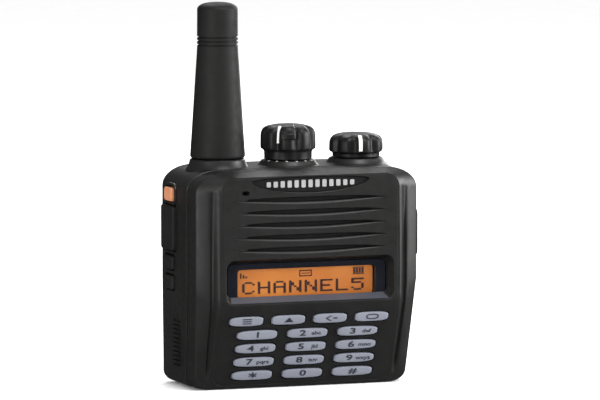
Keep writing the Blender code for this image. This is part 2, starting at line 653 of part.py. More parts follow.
def belt_clip(metal, plastic, steel):
    bracket = solid("belt_clip_bracket", box((-11, 11), (BACK_Y + GAP, 20.3), (61, 73)), plastic)
    for s in (-1, 1):
        ear = [(19, 64), (26.3, 66.6), (26.3, 71), (24.8, 72.6), (19, 72.6)]
        join(bracket, prism(ear, "x", *sorted((s * 9.2, s * 11))))
    holes = [turned([(CLIP_PIN_R + GAP, -12), (CLIP_PIN_R + GAP, 12)], CLIP_PIN_Y, CLIP_PIN_Z, "x", 16)]
    for s in (-1, 1):
        holes.append(turned([(1.4, 17), (1.4, 22)], s * CLIP_SCREW_X, CLIP_SCREW_Z, "y", 12))
    cut(bracket, *holes)
    outline = [
        (27.0, 72.8), (28.7, 72.2), (29.4, 60), (29.0, 30), (27.8, 24.6), (24.6, 21), (21.2, 20.2),
        (19.4, 21.6), (19.2, 23.2), (20.4, 22.6), (23.4, 23), (26.0, 26), (27.2, 31), (27.6, 60),
        (26.8, 66), (26.8, 71.6),
    ]
    tongue = prism(outline, "x", -CLIP_HALF_W, CLIP_HALF_W)
    clip = solid("belt_clip", tongue, metal, (0, CLIP_PIN_Y, CLIP_PIN_Z))
    barrel = [
        (27.2, 66.6), (27.2, 71.4), (24.0, 71.3), (22.4, 70.6), (21.7, 69), (22.4, 67.4), (24.0, 66.7),
    ]
    knuckles = []
    for s in (-1, 1):
        low, high = sorted((s * 6.0, s * (CLIP_HALF_W - 0.1)))
        knuckles.append(prism(barrel, "x", low, high))
    join(clip, *knuckles)
    cut(clip, turned([(CLIP_PIN_R + GAP, -10), (CLIP_PIN_R + GAP, 10)], CLIP_PIN_Y, CLIP_PIN_Z, "x", 16))
    pin = turned([(CLIP_PIN_R, -10.9), (CLIP_PIN_R, 10.9)], CLIP_PIN_Y, CLIP_PIN_Z, "x", 16)
    solid("belt_clip_pin", pin, steel)
    turns, steps, reach = 4, 12, 4.8
    helix = []
    for i in range(turns * steps + 1):
        turn = 2 * math.pi * i / steps + math.pi
        x = -reach + 2 * reach * i / (turns * steps)
        helix.append((x, CLIP_PIN_Y + 1.9 * math.cos(turn), CLIP_PIN_Z + 1.9 * math.sin(turn)))
    foot = [(-reach, 21.2, 68.0), (-reach, 20.9, 66.4)]
    wire("belt_clip_spring", foot[::-1] + helix[1:], 0.45, steel)
    for side, s in (("left", -1), ("right", 1)):
        profile = [(1.0, 12), (1.0, 20.6), (2.0, 20.6), (2.0, 21.4), (1.5, 21.8)]
        screw = solid(f"clip_screw_{side}", turned(profile, s * CLIP_SCREW_X, CLIP_SCREW_Z, "y", 16), steel)
        x = s * CLIP_SCREW_X
        cut(screw, box((x - 1.3, x + 1.3), (21.3, 23), (CLIP_SCREW_Z - 0.25, CLIP_SCREW_Z + 0.25)))


def build():
    for old in list(bpy.data.objects):
        bpy.data.objects.remove(old)
    black = material("black_plastic", (0.028, 0.028, 0.028), 0.45)
    rubber = material("black_rubber", (0.02, 0.02, 0.02), 0.75)
    dark = material("dark_plastic", (0.015, 0.015, 0.016), 0.5)
    orange = material("orange_plastic", (0.8, 0.25, 0.05), 0.45)
    window = material("window_plastic", (0.02, 0.022, 0.028), 0.1)
    amber = material("amber_glass", (0.9, 0.35, 0.06), 0.3)
    grey = material("grey_key", (0.6, 0.62, 0.7), 0.5)
    white = material("white_plastic", (0.8, 0.8, 0.78), 0.4)
    board = material("circuit_board", (0.02, 0.16, 0.07), 0.4)
    cast = material("cast_aluminium", (0.6, 0.6, 0.6), 0.5, 1.0)
    steel = material("steel", (0.6, 0.6, 0.62), 0.3, 1.0)
    brass = material("brass", (0.7, 0.5, 0.2), 0.3, 1.0)
    copper = material("copper", (0.8, 0.4, 0.2), 0.3, 1.0)
    paper = material("speaker_paper", (0.05, 0.05, 0.05), 0.8)
    wrap = material("cell_wrap", (0.05, 0.12, 0.3), 0.4)

    front_case(black)
    rear_case(black)
    case_gasket(rubber)
    case_screws(steel)
    display_window(window)
    badge_plate(dark)
    keys(grey, rubber)
    display_parts(amber, white)
    speaker(steel, paper, cast)
    boards(board, cast)
    antenna(rubber, copper, brass)
    control("channel", "channel_encoder", CHANNEL_X, CHANNEL_TOP_Z, (dark, steel, black))
    control("volume", "volume_potentiometer", VOLUME_X, VOLUME_TOP_Z, (dark, steel, black))
    side_buttons((orange, dark, dark, dark), board)
    jack(rubber, dark)
    battery(black, wrap, dark)
    belt_clip(black, black, steel)


build()
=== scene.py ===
import math

import bmesh
import bpy
from mathutils import Matrix, Vector


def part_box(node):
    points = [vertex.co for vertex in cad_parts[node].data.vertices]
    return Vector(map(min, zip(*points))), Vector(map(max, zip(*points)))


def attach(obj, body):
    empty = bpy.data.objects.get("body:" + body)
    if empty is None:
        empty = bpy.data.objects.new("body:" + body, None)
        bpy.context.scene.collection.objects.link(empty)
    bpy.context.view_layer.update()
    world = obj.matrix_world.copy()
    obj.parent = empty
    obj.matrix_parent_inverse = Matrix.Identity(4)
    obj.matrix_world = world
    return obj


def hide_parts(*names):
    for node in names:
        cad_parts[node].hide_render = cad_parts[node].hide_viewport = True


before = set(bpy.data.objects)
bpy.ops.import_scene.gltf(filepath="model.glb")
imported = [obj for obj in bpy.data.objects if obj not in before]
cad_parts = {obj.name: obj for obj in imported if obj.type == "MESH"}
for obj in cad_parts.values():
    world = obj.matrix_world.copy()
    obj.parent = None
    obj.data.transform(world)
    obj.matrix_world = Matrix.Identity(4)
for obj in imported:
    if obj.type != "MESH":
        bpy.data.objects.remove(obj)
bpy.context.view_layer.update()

# Sizes are in millimetres in the frame's axes: +X right, +Y back, +Z up. The stage alone is in metres.
MM = 0.001
HOUSING = "housing"


def corners(node):
    """A CAD node's lowest and highest corners in millimetres."""
    low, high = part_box(node)
    return Vector(low) / MM, Vector(high) / MM


FRONT_LOW, FRONT_HIGH = corners("front_case")
REAR_HIGH = corners("rear_case")[1]
BODY_HALF = 40.0
BODY_H = FRONT_HIGH.z
PANEL_Y = FRONT_LOW.y
EDGE_Y = PANEL_Y + 4.0
PART_Y, REAR_Y, BACK_Y = -10.0, -8.8, REAR_HIGH.y
WALL = 2.0
# A corner is its radius across and up.
SHOULDER, HEEL = (11.0, 7.0), (5.0, 4.0)
INNER_SHOULDER, INNER_HEEL = (9.0, 5.0), (3.0, 2.0)
ARC_STEPS = 10
# A lean is the height it starts at and how far back it goes for each millimetre below that.
PANEL_LEAN, EDGE_LEAN, SEAM_LEAN, UPRIGHT = (29.0, 0.375), (36.0, 0.19), (36.0, 0.11), (0.0, 0.0)
SIDE_HEIGHTS = (8.0, 14.0, 20.0, 25.0, 29.0, 32.0, 36.0, 44.0, 54.0)
EDGE_HALF, PANEL_HALF = 39.5, 31.9
SEAM_FOOT, EDGE_FOOT = 0.8, 1.8


# ---------------------------------------------------------------- mesh helpers


def loft(rings, tube=False, mirrored=False):
    """A closed shape through rings of equally many points: capped at both ends, or joined end to end.
    Mirrored rings match left to right, so a cap that bends at some height is made of flat strips."""
    bm = bmesh.new()
    rows = [[bm.verts.new(point) for point in ring] for ring in rings]
    pairs = list(zip(rows, rows[1:]))
    if tube:
        pairs.append((rows[-1], rows[0]))
    elif mirrored:
        for row in (rows[0], rows[-1]):
            for i in range(len(row) // 2 - 1):
                bm.faces.new((row[i], row[i + 1], row[-2 - i], row[-1 - i]))
    else:
        bm.faces.new(rows[0])
        bm.faces.new(rows[-1])
    for low, high in pairs:
        for i in range(len(low)):
            j = (i + 1) % len(low)
            bm.faces.new((low[i], low[j], high[j], high[i]))
    bmesh.ops.recalc_face_normals(bm, faces=bm.faces)
    return bm


def place(axis, u, v, w):
    """The point w along an axis, at (u, v) in the other two axes taken in X, Y, Z order."""
    return Vector({"x": (w, u, v), "y": (u, w, v), "z": (u, v, w)}[axis])


def raised(outline, axis, w):
    return [place(axis, u, v, w) for u, v in outline]


def stacked(steps, axis, tube=False):
    """A shape through outlines, each at its own distance along an axis."""
    return loft([raised(outline, axis, w) for outline, w in steps], tube)


def prism(outline, axis, low, high):
    return stacked(((outline, low), (outline, high)), axis)


def box(x, y, z):
    return prism([(x[0], y[0]), (x[1], y[0]), (x[1], y[1]), (x[0], y[1])], "z", z[0], z[1])


def circle(u, v, radius, steps=64):
    turns = [2 * math.pi * i / steps for i in range(steps)]
    return [(u + radius * math.cos(t), v + radius * math.sin(t)) for t in turns]


def turned(profile, u, v, axis="z", steps=64, tube=False):
    """A shape turned about an axis through (u, v), from (radius, distance along the axis) pairs."""
    return stacked([(circle(u, v, radius, steps), along) for radius, along in profile], axis, tube)


def rounded_rect(u, v, width, height, radius, steps=6):
    points = []
    for quarter, (su, sv) in enumerate(((1, -1), (1, 1), (-1, 1), (-1, -1))):
        for i in range(steps + 1):
            turn = math.pi / 2 * (quarter - 1 + i / steps)
            across = u + su * (width / 2 - radius) + radius * math.cos(turn)
            along = v + sv * (height / 2 - radius) + radius * math.sin(turn)
            points.append((across, along))
    return points


def superellipse(u, v, width, height, exponent=4.0, steps=48, outer=0):
    """A rounded bar. With outer at 1 or -1, it is a little slimmer toward its end on that side."""
    points = []
    for i in range(steps):
        turn = 2 * math.pi * (i + 0.5) / steps
        c, s = math.cos(turn), math.sin(turn)
        a = math.copysign(abs(c) ** (2 / exponent), c)
        b = math.copysign(abs(s) ** (2 / exponent), s)
        droop = 1 - 0.1 * max(0.0, outer * a) ** 2
        points.append((u + width / 2 * a, v + height / 2 * b * droop))
    return points


def combined(shapes):
    """Several separate shapes as one mesh."""
    joined = bmesh.new()
    for shape in shapes:
        mesh = bpy.data.meshes.new("shape")
        shape.to_mesh(mesh)
        joined.from_mesh(mesh)
        bpy.data.meshes.remove(mesh)
        shape.free()
    return joined


def raw(name, shape):
    """An object from a shape in millimetres, at the frame's origin, in metres."""
    shape.transform(Matrix.Scale(MM, 4))
    mesh = bpy.data.meshes.new(name)
    shape.to_mesh(mesh)
    shape.free()
    made = bpy.data.objects.new(name, mesh)
    bpy.context.scene.collection.objects.link(made)
    return made


def carved(name, shape, *steps):
    """A shape after Boolean steps, each an operation and its separate shapes, as one final mesh."""
    made = raw(name, shape)
    for operation, shapes in steps:
        helper = raw(name + "_helper", combined(shapes))
        change = made.modifiers.new(operation, "BOOLEAN")
        change.operation = operation
        change.solver = "EXACT"
        change.object = helper
        bpy.context.view_layer.update()
        evaluated = made.evaluated_get(bpy.context.evaluated_depsgraph_get())
        mesh = bpy.data.meshes.new_from_object(evaluated)
        made.modifiers.clear()
        made.data = mesh
        bpy.data.objects.remove(helper)
    made.data.name = name
    return made


def finished(made, look, body=HOUSING, slot="black_plastic", bevel=0.0, sharp=32, replaces=()):
    """Shades a piece, softens its edges, gives it its material and attaches it to its body."""
    made.data.materials.clear()
    made.data.materials.append(look)
    made.data.shade_smooth()
    made.data.set_sharp_from_angle(angle=math.radians(sharp))
    if bevel:
        soften = made.modifiers.new("soft_edges", "BEVEL")
        soften.width = bevel * MM
        soften.segments = 3
        soften.limit_method = "ANGLE"
        soften.angle_limit = math.radians(30)
        soften.use_clamp_overlap = True
    even = made.modifiers.new("even_normals", "WEIGHTED_NORMAL")
    even.keep_sharp = True
    even.weight = 80
    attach(made, body)
    if replaces:
        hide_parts(*replaces)


def piece(name, shape, look, **options):
    finished(raw(name, shape), look, **options)


# ------------------------------------------------------------------ materials


def shader(name, colour, roughness, metallic=0.0, specular=0.5):
    made = bpy.data.materials.new(name)
    made.use_nodes = True
    bsdf = made.node_tree.nodes["Principled BSDF"]
    bsdf.inputs["Base Color"].default_value = (*colour, 1.0)
    bsdf.inputs["Roughness"].default_value = roughness
    bsdf.inputs["Metallic"].default_value = metallic
    bsdf.inputs["Specular IOR Level"].default_value = specular
    return made, made.node_tree, bsdf


def noise(tree, vector, scale, detail):
    node = tree.nodes.new("ShaderNodeTexNoise")
    node.inputs["Scale"].default_value = scale
    node.inputs["Detail"].default_value = detail
    tree.links.new(vector, node.inputs["Vector"])
    return node.outputs["Fac"]


def spread(tree, source, low, high, start=0.3, end=0.7):
    """A value mapped to the range from low to high."""
    node = tree.nodes.new("ShaderNodeMapRange")
    node.inputs["From Min"].default_value = start
    node.inputs["From Max"].default_value = end
    node.inputs["To Min"].default_value = low
    node.inputs["To Max"].default_value = high
    tree.links.new(source, node.inputs["Value"])
    return node.outputs["Result"]


def relief(tree, bsdf, height, depth, strength=1.0):
    """Bumps of a depth in millimetres."""
    bump = tree.nodes.new("ShaderNodeBump")
    bump.inputs["Strength"].default_value = strength
    bump.inputs["Distance"].default_value = depth * MM
    tree.links.new(height, bump.inputs["Height"])
    tree.links.new(bump.outputs["Normal"], bsdf.inputs["Normal"])


def moulded(name, colour, roughness, grain=0.25, depth=0.02, mottle=0.12, specular=0.5, metallic=0.0):
    """Moulded or cast material: grain of a size and depth in millimetres, and faint mottling and scuffs."""
    made, tree, bsdf = shader(name, colour, roughness, metallic, specular)
    coords = tree.nodes.new("ShaderNodeTexCoord").outputs["Object"]
    cloud = noise(tree, coords, 90.0, 4.0)
    fine = noise(tree, coords, 1 / (grain * MM), 2.0)
    shade = spread(tree, cloud, 1 - mottle, 1 + mottle)
    tint = tree.nodes.new("ShaderNodeMix")
    tint.data_type = "RGBA"
    tint.blend_type = "MULTIPLY"
    tint.inputs["Factor"].default_value = 1.0
    tint.inputs["A"].default_value = (*colour, 1.0)
    tree.links.new(shade, tint.inputs["B"])
    tree.links.new(tint.outputs["Result"], bsdf.inputs["Base Color"])
    worn = spread(tree, noise(tree, coords, 400.0, 6.0), roughness + 0.06, roughness - 0.06)
    tree.links.new(worn, bsdf.inputs["Roughness"])
    relief(tree, bsdf, fine, depth, 0.6)
    return made


def brushed(name, colour, roughness, stretch=(1.0, 1.0, 30.0)):
    """Metal with fine lines across one axis."""
    made, tree, bsdf = shader(name, colour, roughness, 1.0)
    coords = tree.nodes.new("ShaderNodeTexCoord")
    mapping = tree.nodes.new("ShaderNodeMapping")
    mapping.inputs["Scale"].default_value = stretch
    tree.links.new(coords.outputs["Object"], mapping.inputs["Vector"])
    lines = noise(tree, mapping.outputs["Vector"], 300.0, 4.0)
    rough = spread(tree, lines, roughness - 0.08, roughness + 0.1)
    tree.links.new(rough, bsdf.inputs["Roughness"])
    relief(tree, bsdf, lines, 0.01, 0.3)
    return made


def backlit(name, low, high, strength):
    """A lit display: a warm colour that varies a little over its face."""
    made, tree, bsdf = shader(name, low, 0.35)
    coords = tree.nodes.new("ShaderNodeTexCoord").outputs["Object"]
    cloud = noise(tree, coords, 55.0, 2.0)
    ramp = tree.nodes.new("ShaderNodeValToRGB")
    ramp.color_ramp.elements[0].position = 0.35
    ramp.color_ramp.elements[0].color = (*low, 1.0)
    ramp.color_ramp.elements[1].position = 0.65
    ramp.color_ramp.elements[1].color = (*high, 1.0)
    tree.links.new(cloud, ramp.inputs["Fac"])
    tree.links.new(ramp.outputs["Color"], bsdf.inputs["Base Color"])
    tree.links.new(ramp.outputs["Color"], bsdf.inputs["Emission Color"])
    bsdf.inputs["Emission Strength"].default_value = strength
    return made


def clear(name, colour, alpha, roughness):
    """A thin clear sheet."""
    made, _, bsdf = shader(name, colour, roughness)
    bsdf.inputs["Alpha"].default_value = alpha
    return made


def weave(name, colour, pitch):
    """Fine woven mesh: two sets of crossed threads."""
    made, tree, bsdf = shader(name, colour, 0.9)
    coords = tree.nodes.new("ShaderNodeTexCoord")
    threads = []
    for direction in ("X", "Z"):
        wave = tree.nodes.new("ShaderNodeTexWave")
        wave.bands_direction = direction
        wave.inputs["Scale"].default_value = 1000.0 / pitch / 20
        tree.links.new(coords.outputs["Object"], wave.inputs["Vector"])
        threads.append(wave)
    both = tree.nodes.new("ShaderNodeMath")
    both.operation = "MAXIMUM"
    tree.links.new(threads[0].outputs["Fac"], both.inputs[0])
    tree.links.new(threads[1].outputs["Fac"], both.inputs[1])
    relief(tree, bsdf, both.outputs["Value"], 0.05)
    return made


CASE = moulded("case_plastic", (0.0082, 0.0082, 0.0078), 0.46, 0.28, 0.035, 0.15, 0.42)
SMOOTH = moulded("smooth_black", (0.006, 0.006, 0.006), 0.34, 0.2, 0.008, 0.1)
KNOB = moulded("knob_plastic", (0.0055, 0.0055, 0.0055), 0.48, 0.25, 0.01, 0.1, 0.34)
RUBBER = moulded("soft_rubber", (0.0088, 0.0088, 0.0084), 0.66, 0.35, 0.03, 0.15, 0.35)
SHEATH = moulded("antenna_rubber", (0.0085, 0.0085, 0.0081), 0.6, 0.4, 0.03, 0.15, 0.22)
LENS = moulded("lens_border", (0.007, 0.008, 0.012), 0.12, 0.5, 0.002, 0.08)
KEYTOP = moulded("keytop_grey", (0.155, 0.165, 0.198), 0.42, 0.3, 0.01, 0.05)
ORANGE = moulded("orange_button", (0.44, 0.175, 0.08), 0.42, 0.3, 0.01, 0.06)
INK = moulded("legend_ink", (0.015, 0.015, 0.025), 0.6, 0.3, 0.004, 0.1)
WHITE = moulded("white_paint", (0.72, 0.72, 0.7), 0.5, 0.3, 0.006, 0.05)
SILVER = moulded("silver_print", (0.3, 0.3, 0.3), 0.42, 0.3, 0.004, 0.06, 0.5, 0.2)
AMBER = backlit("amber_backlight", (0.38, 0.105, 0.0075), (0.46, 0.15, 0.016), 0.34)
SEGMENT = moulded("display_segment", (0.045, 0.01, 0.003), 0.5, 0.3, 0.002, 0.08)
# The sill's light bluish grey is a painted reflection: it stands for the bright room mirrored in the black
# sloping sill.
SILL_PAINTED_REFLECTION = moulded("sill_painted_reflection", (0.05, 0.054, 0.068), 0.4, 0.3, 0.01, 0.08)
PANE = clear("clear_pane", (0.05, 0.05, 0.06), 0.06, 0.04)
CLOTH = weave("dust_cloth", (0.004, 0.004, 0.004), 0.5)
STEEL = brushed("plated_steel", (0.62, 0.62, 0.64), 0.3)
DARK_STEEL = brushed("black_steel", (0.06, 0.06, 0.065), 0.4)
BRASS = brushed("turned_brass", (0.78, 0.56, 0.25), 0.28, (1.0, 1.0, 12.0))
COPPER = brushed("copper_wire", (0.83, 0.42, 0.25), 0.3)
CAST = moulded("cast_metal", (0.55, 0.55, 0.56), 0.45, 0.5, 0.03, 0.1, 0.5, 1.0)
BOARD = moulded("circuit_laminate", (0.02, 0.13, 0.05), 0.35, 0.8, 0.01, 0.2)
WRAP = moulded("cell_sleeve", (0.03, 0.1, 0.28), 0.3, 0.6, 0.01, 0.1)
PAPER = moulded("cone_paper", (0.02, 0.02, 0.021), 0.85, 0.2, 0.04, 0.2)
DIFFUSER = moulded("light_guide", (0.8, 0.79, 0.75), 0.4, 0.4, 0.01, 0.05)
FLOOR = moulded("pale_floor", (0.95, 0.95, 0.95), 0.8, 3.0, 0.01, 0.01)


# --------------------------------------------------------------------- the case


def leant(z, lean):
    start, rate = lean
    return rate * max(0.0, start - z)


def leaned(shape):
    """Moves a shape's points back as the front panel leans."""
    for vert in shape.verts:
        vert.co.y += leant(vert.co.z, PANEL_LEAN)
    return shape


def body_ring(y, lean, foot, half=BODY_HALF, top=0.0, bottom=0.0, shoulder=SHOULDER, heel=HEEL):
    """The case's front-view outline at depth y: from the base's right end up, over and down to its left.
    Each side draws in toward the base, by foot at z = 0."""
    high = BODY_H - top
    right = []
    for (rx, rz), middle, first in ((heel, bottom + heel[1], -1), (shoulder, high - shoulder[1], 0)):
        for i in range(ARC_STEPS + 1):
            turn = math.pi / 2 * (first + i / ARC_STEPS)
            right.append((half - rx + rx * math.cos(turn), middle + rz * math.sin(turn)))
        if first:
            right += [(half, z) for z in SIDE_HEIGHTS]
    ring = []
    for side, points in ((1, right), (-1, right[::-1])):
        for x, z in points:
            narrowed = x - foot * max(0.0, 1 - z / EDGE_LEAN[0])
            ring.append(Vector((side * narrowed, y + leant(z, lean), z)))
    return ring


def between(a, b, share, back=0.0):
    """A ring between two others, moved back along its upright sides and less near their ends."""
    side_low, side_high = 3.0, 68.0
    ring = []
    for p, q in zip(a, b):
        middle = p.lerp(q, share)
        upright = min(1.0, max(0.0, (side_high - middle.z) / 5.0), max(0.0, (middle.z - side_low) / 4.0))
        ring.append(middle + Vector((0, back * upright, 0)))
    return ring


SLOT_TOP_Z, SLOT_PITCH, SLOT_HALF, SLOT_COUNT = 64.7, 4.22, 27.3, 5
SLOT_STEPS = 28


def slot_scoop(z):
    """A grille slot as a cutter: it opens through the wall in the middle, rises to the surface at its
    ends, and has a rounded lower lip."""
    rings = []
    for i in range(SLOT_STEPS + 1):
        s = math.sin(math.pi / 2 * (2 * i / SLOT_STEPS - 1)) * 0.999
        mid = 1 - s * s
        x = SLOT_HALF * s
        low = z - 1.75 * mid
        high = z + 0.8 * (1 - abs(s) ** 6) + 0.2 * mid
        depth = min(3.4, 0.1 + 0.36 * (SLOT_HALF - abs(x)))
        lip = min(1.15 * mid**0.5 + 0.05, 0.5 * (high - low))
        lip_depth = min(1.1 * lip, 0.6 * depth)
        ring = [Vector((x, PANEL_Y - 1.0, low - 0.02))]
        for k in range(5):
            turn = math.pi / 2 * k / 4
            run, rise = lip_depth * (1 - math.cos(turn)), lip * math.sin(turn)
            ring.append(Vector((x, PANEL_Y - 0.02 + run, low + rise)))
        ring.append(Vector((x, PANEL_Y + depth, low + lip + min(0.05 * depth, 0.2 * (high - low)))))
        ring.append(Vector((x, PANEL_Y + depth, high)))
        ring.append(Vector((x, PANEL_Y + min(0.2, 0.5 * depth), high)))
        ring.append(Vector((x, PANEL_Y - 0.02, high + 0.12)))
        ring.append(Vector((x, PANEL_Y - 1.0, high + 0.3)))
        rings.append(ring)
    return loft(rings)


RECESS_W, RECESS_H, RECESS_Z, RECESS_Y = 60.0, 14.8, 37.3, PANEL_Y + 5.0
LENS_W, LENS_H, LENS_R = 57.0, 11.8, 2.0
SEAT_Y, SILL_Z, LINTEL_Z = PANEL_Y + 3.9, 31.85, 43.6
VIEW_W, VIEW_H, VIEW_Z = 50.0, 9.8, 36.3
BADGE_W, BADGE_H, BADGE_Z = 41.6, 4.8, 69.8
MIC_X, MIC_Z = -23.3, 67.5


def window_recess():
    """The recess over the display: its sill slopes up to the lens, and the lens has a pocket behind it."""
    steps = []
    for grow, radius, depth in ((1.6, 3.2, -1.0), (0.55, 3.0, -0.02), (0.2, 2.9, 0.15), (0.0, 2.8, 0.5)):
        outline = rounded_rect(0, RECESS_Z, RECESS_W + grow, RECESS_H + grow, radius)
        steps.append((outline, PANEL_Y + depth))
    inner = rounded_rect(0, (SILL_Z + LINTEL_Z) / 2, LENS_W + 1.0, LINTEL_Z - SILL_Z, 2.2)
    pocket = rounded_rect(0, RECESS_Z, LENS_W + 0.6, LENS_H + 0.6, 2.3)
    steps += [(inner, SEAT_Y), (pocket, SEAT_Y + 0.02), (pocket, RECESS_Y)]
    return stacked(steps, "y")


def badge_outline(grow=0.0, steps=24):
    """A wide smile: a nearly straight top edge over a deep curve."""
    half_w, half_h = BADGE_W / 2 + grow, BADGE_H / 2 + grow
    spots = [math.sin(math.pi / 2 * (2 * i / steps - 1)) for i in range(steps + 1)]
    lower = [(half_w * s, BADGE_Z + half_h * (0.55 - 1.55 * (1 - s * s) ** 0.6)) for s in spots]
    upper = [(half_w * s, BADGE_Z + half_h * (0.6 + 0.4 * (1 - s**4))) for s in reversed(spots)]
    return lower + upper


def badge_recess():
    steps = ((0.9, -1.0), (0.55, -0.02), (0.4, 0.08), (0.25, 0.3), (0.15, 0.6), (0.15, 0.8))
    return stacked([(badge_outline(grow), PANEL_Y + depth) for grow, depth in steps], "y")


KEYS = [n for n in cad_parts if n.startswith("key_")]
KEY_H, KEY_TOP_Y = 3.3, PANEL_Y - 1.02


def key_place(name):
    """A key's middle and width, without the flange that holds it in."""
    low, high = corners(name)
    return (low.x + high.x) / 2, (low.z + high.z) / 2, high.x - low.x - 1.0


def key_side(x):
    """Which side of the front a key is on: -1, 0 for the middle, or 1."""
    return 0 if abs(x) < 10 else math.copysign(1, x)


def key_hole(name):
    x, z, width = key_place(name)
    steps = []
    for grow, depth in ((1.4, -1.2), (1.15, -0.02), (0.8, 0.12), (0.62, 0.4), (0.6, 3.2)):
        outline = superellipse(x, z, width + grow, KEY_H + grow, outer=key_side(x))
        steps.append((outline, PANEL_Y + depth))
    return leaned(stacked(steps, "y"))


def front_shell():
    """The front shell: a rounded side, a groove down each side of the raised panel, and its openings."""
    edge = body_ring(EDGE_Y, EDGE_LEAN, EDGE_FOOT, EDGE_HALF, 0.3, 0.3)
    panel = body_ring(PANEL_Y, PANEL_LEAN, 0, PANEL_HALF, 1.6, 1.0, (5.5, 4.6), (4.0, 3.0))
    rings = [
        body_ring(PART_Y, SEAM_LEAN, SEAM_FOOT, 39.7, 0.3, 0.3),
        body_ring(PART_Y - 0.3, SEAM_LEAN, SEAM_FOOT, 39.95, 0.05, 0.05),
        body_ring(PART_Y - 0.8, SEAM_LEAN, SEAM_FOOT),
        body_ring(EDGE_Y + 1.3, EDGE_LEAN, EDGE_FOOT),
        body_ring(EDGE_Y + 0.7, EDGE_LEAN, EDGE_FOOT, 39.93, 0.05, 0.05),
        body_ring(EDGE_Y + 0.25, EDGE_LEAN, EDGE_FOOT, 39.75, 0.15, 0.15),
    ]
    # Each step is a share of the way from the edge to the panel, and how far back the surface is there.
    swell = ((0.0, 0.0), (0.1, -0.12), (0.25, -0.22), (0.42, -0.22), (0.52, -0.08))
    groove = ((0.57, 0.25), (0.6, 0.75), (0.65, 1.0), (0.7, 0.95), (0.74, 0.6), (0.79, 0.2))
    rim = ((0.85, -0.12), (0.9, -0.2), (0.95, -0.12), (0.99, 0.0))
    rings += [between(edge, panel, share, back) for share, back in swell + groove + rim]
    for inset, back in ((0.15, 0.1), (0.5, 0.02), (0.9, 0.0)):
        corner = (5.5 - inset, 4.6 - inset)
        foot = (4.0 - inset, 3.0 - inset)
        high, low = 1.6 + inset, 1.0 + inset
        rings.append(body_ring(PANEL_Y + back, PANEL_LEAN, 0, PANEL_HALF - inset, high, low, corner, foot))
    inside = loft(
        [
            body_ring(PART_Y + 1, SEAM_LEAN, SEAM_FOOT, 38, WALL, WALL, INNER_SHOULDER, INNER_HEEL),
            body_ring(EDGE_Y + 1.8, EDGE_LEAN, EDGE_FOOT, 37.6, WALL, WALL, INNER_SHOULDER, INNER_HEEL),
            body_ring(PANEL_Y + WALL, PANEL_LEAN, 0, PANEL_HALF - 1, 3.2, 2.2, (5.0, 4.0), INNER_HEEL),
        ],
        mirrored=True,
    )
    # A solid block behind the window holds the lens and is open only to the display.
    block = box((-31.5, 31.5), (-20.5, RECESS_Y + 1.2), (28.6, 45.6))
    view = prism(rounded_rect(0, VIEW_Z, VIEW_W, VIEW_H, 1.0), "y", -24, -15)
    mic = []
    for grow, depth in ((0.5, -1.0), (0.3, -0.02), (0.1, 0.15), (0.0, 0.3), (0.0, 3.0)):
        mic.append((superellipse(MIC_X, MIC_Z, 2.6 + grow, 1.3 + grow, 2.4, 24), PANEL_Y + depth))
    slots = [slot_scoop(SLOT_TOP_Z - i * SLOT_PITCH) for i in range(SLOT_COUNT)]
    holes = [key_hole(name) for name in KEYS]
    made = carved(
        "front_shell",
        loft(rings, mirrored=True),
        ("DIFFERENCE", [inside]),
        ("UNION", [block]),
        ("DIFFERENCE", [view]),
        ("DIFFERENCE", [*slots, *holes]),
        ("DIFFERENCE", [window_recess(), badge_recess(), stacked(mic, "y")]),
    )
    finished(made, CASE, replaces=["front_case"])


SIDE_BUTTONS = ("emergency_button", "ptt_button", "side_key_upper", "side_key_lower")
ANTENNA_X, ANTENNA_Y = -24.7, 3.0
KNOB_Y, CHANNEL_X, VOLUME_X = 1.0, 0.0, 24.7
JACK_Y, JACK_Z, JACK_W, JACK_H = -4.5, 51.5, 6.2, 12.0
BAY_HALF, BAY_LOW, BAY_HIGH, BAY_Y = 31.0, 4.0, 59.0, 5.3
SCREW_X, SCREW_Z = 35.4, 7.0
CLIP_SCREW_X, CLIP_SCREW_Z = 6.0, 64.0
RIB_COUNT, RIB_PITCH, RIB_LOW_Z = 11, 1.5, 7.2
BACK_ROUND, BACK_STEPS = 1.8, 6


def side_place(name):
    """A side button's middle, depth and height, without the flange that holds it in."""
    low, high = corners(name)
    flanges = 1.2
    return (low.y + high.y) / 2, (low.z + high.z) / 2, high.y - low.y - flanges, high.z - low.z - flanges


def side_shape(name, steps):
    """A shape through a side button's outline, grown all round by each step, at each step's x."""
    y, z, depth, height = side_place(name)
    outlines = []
    for grow, x in steps:
        outlines.append((rounded_rect(y, z, depth + grow, height + grow, max(0.5, 1.2 + grow / 2)), x))
    return stacked(outlines, "x")


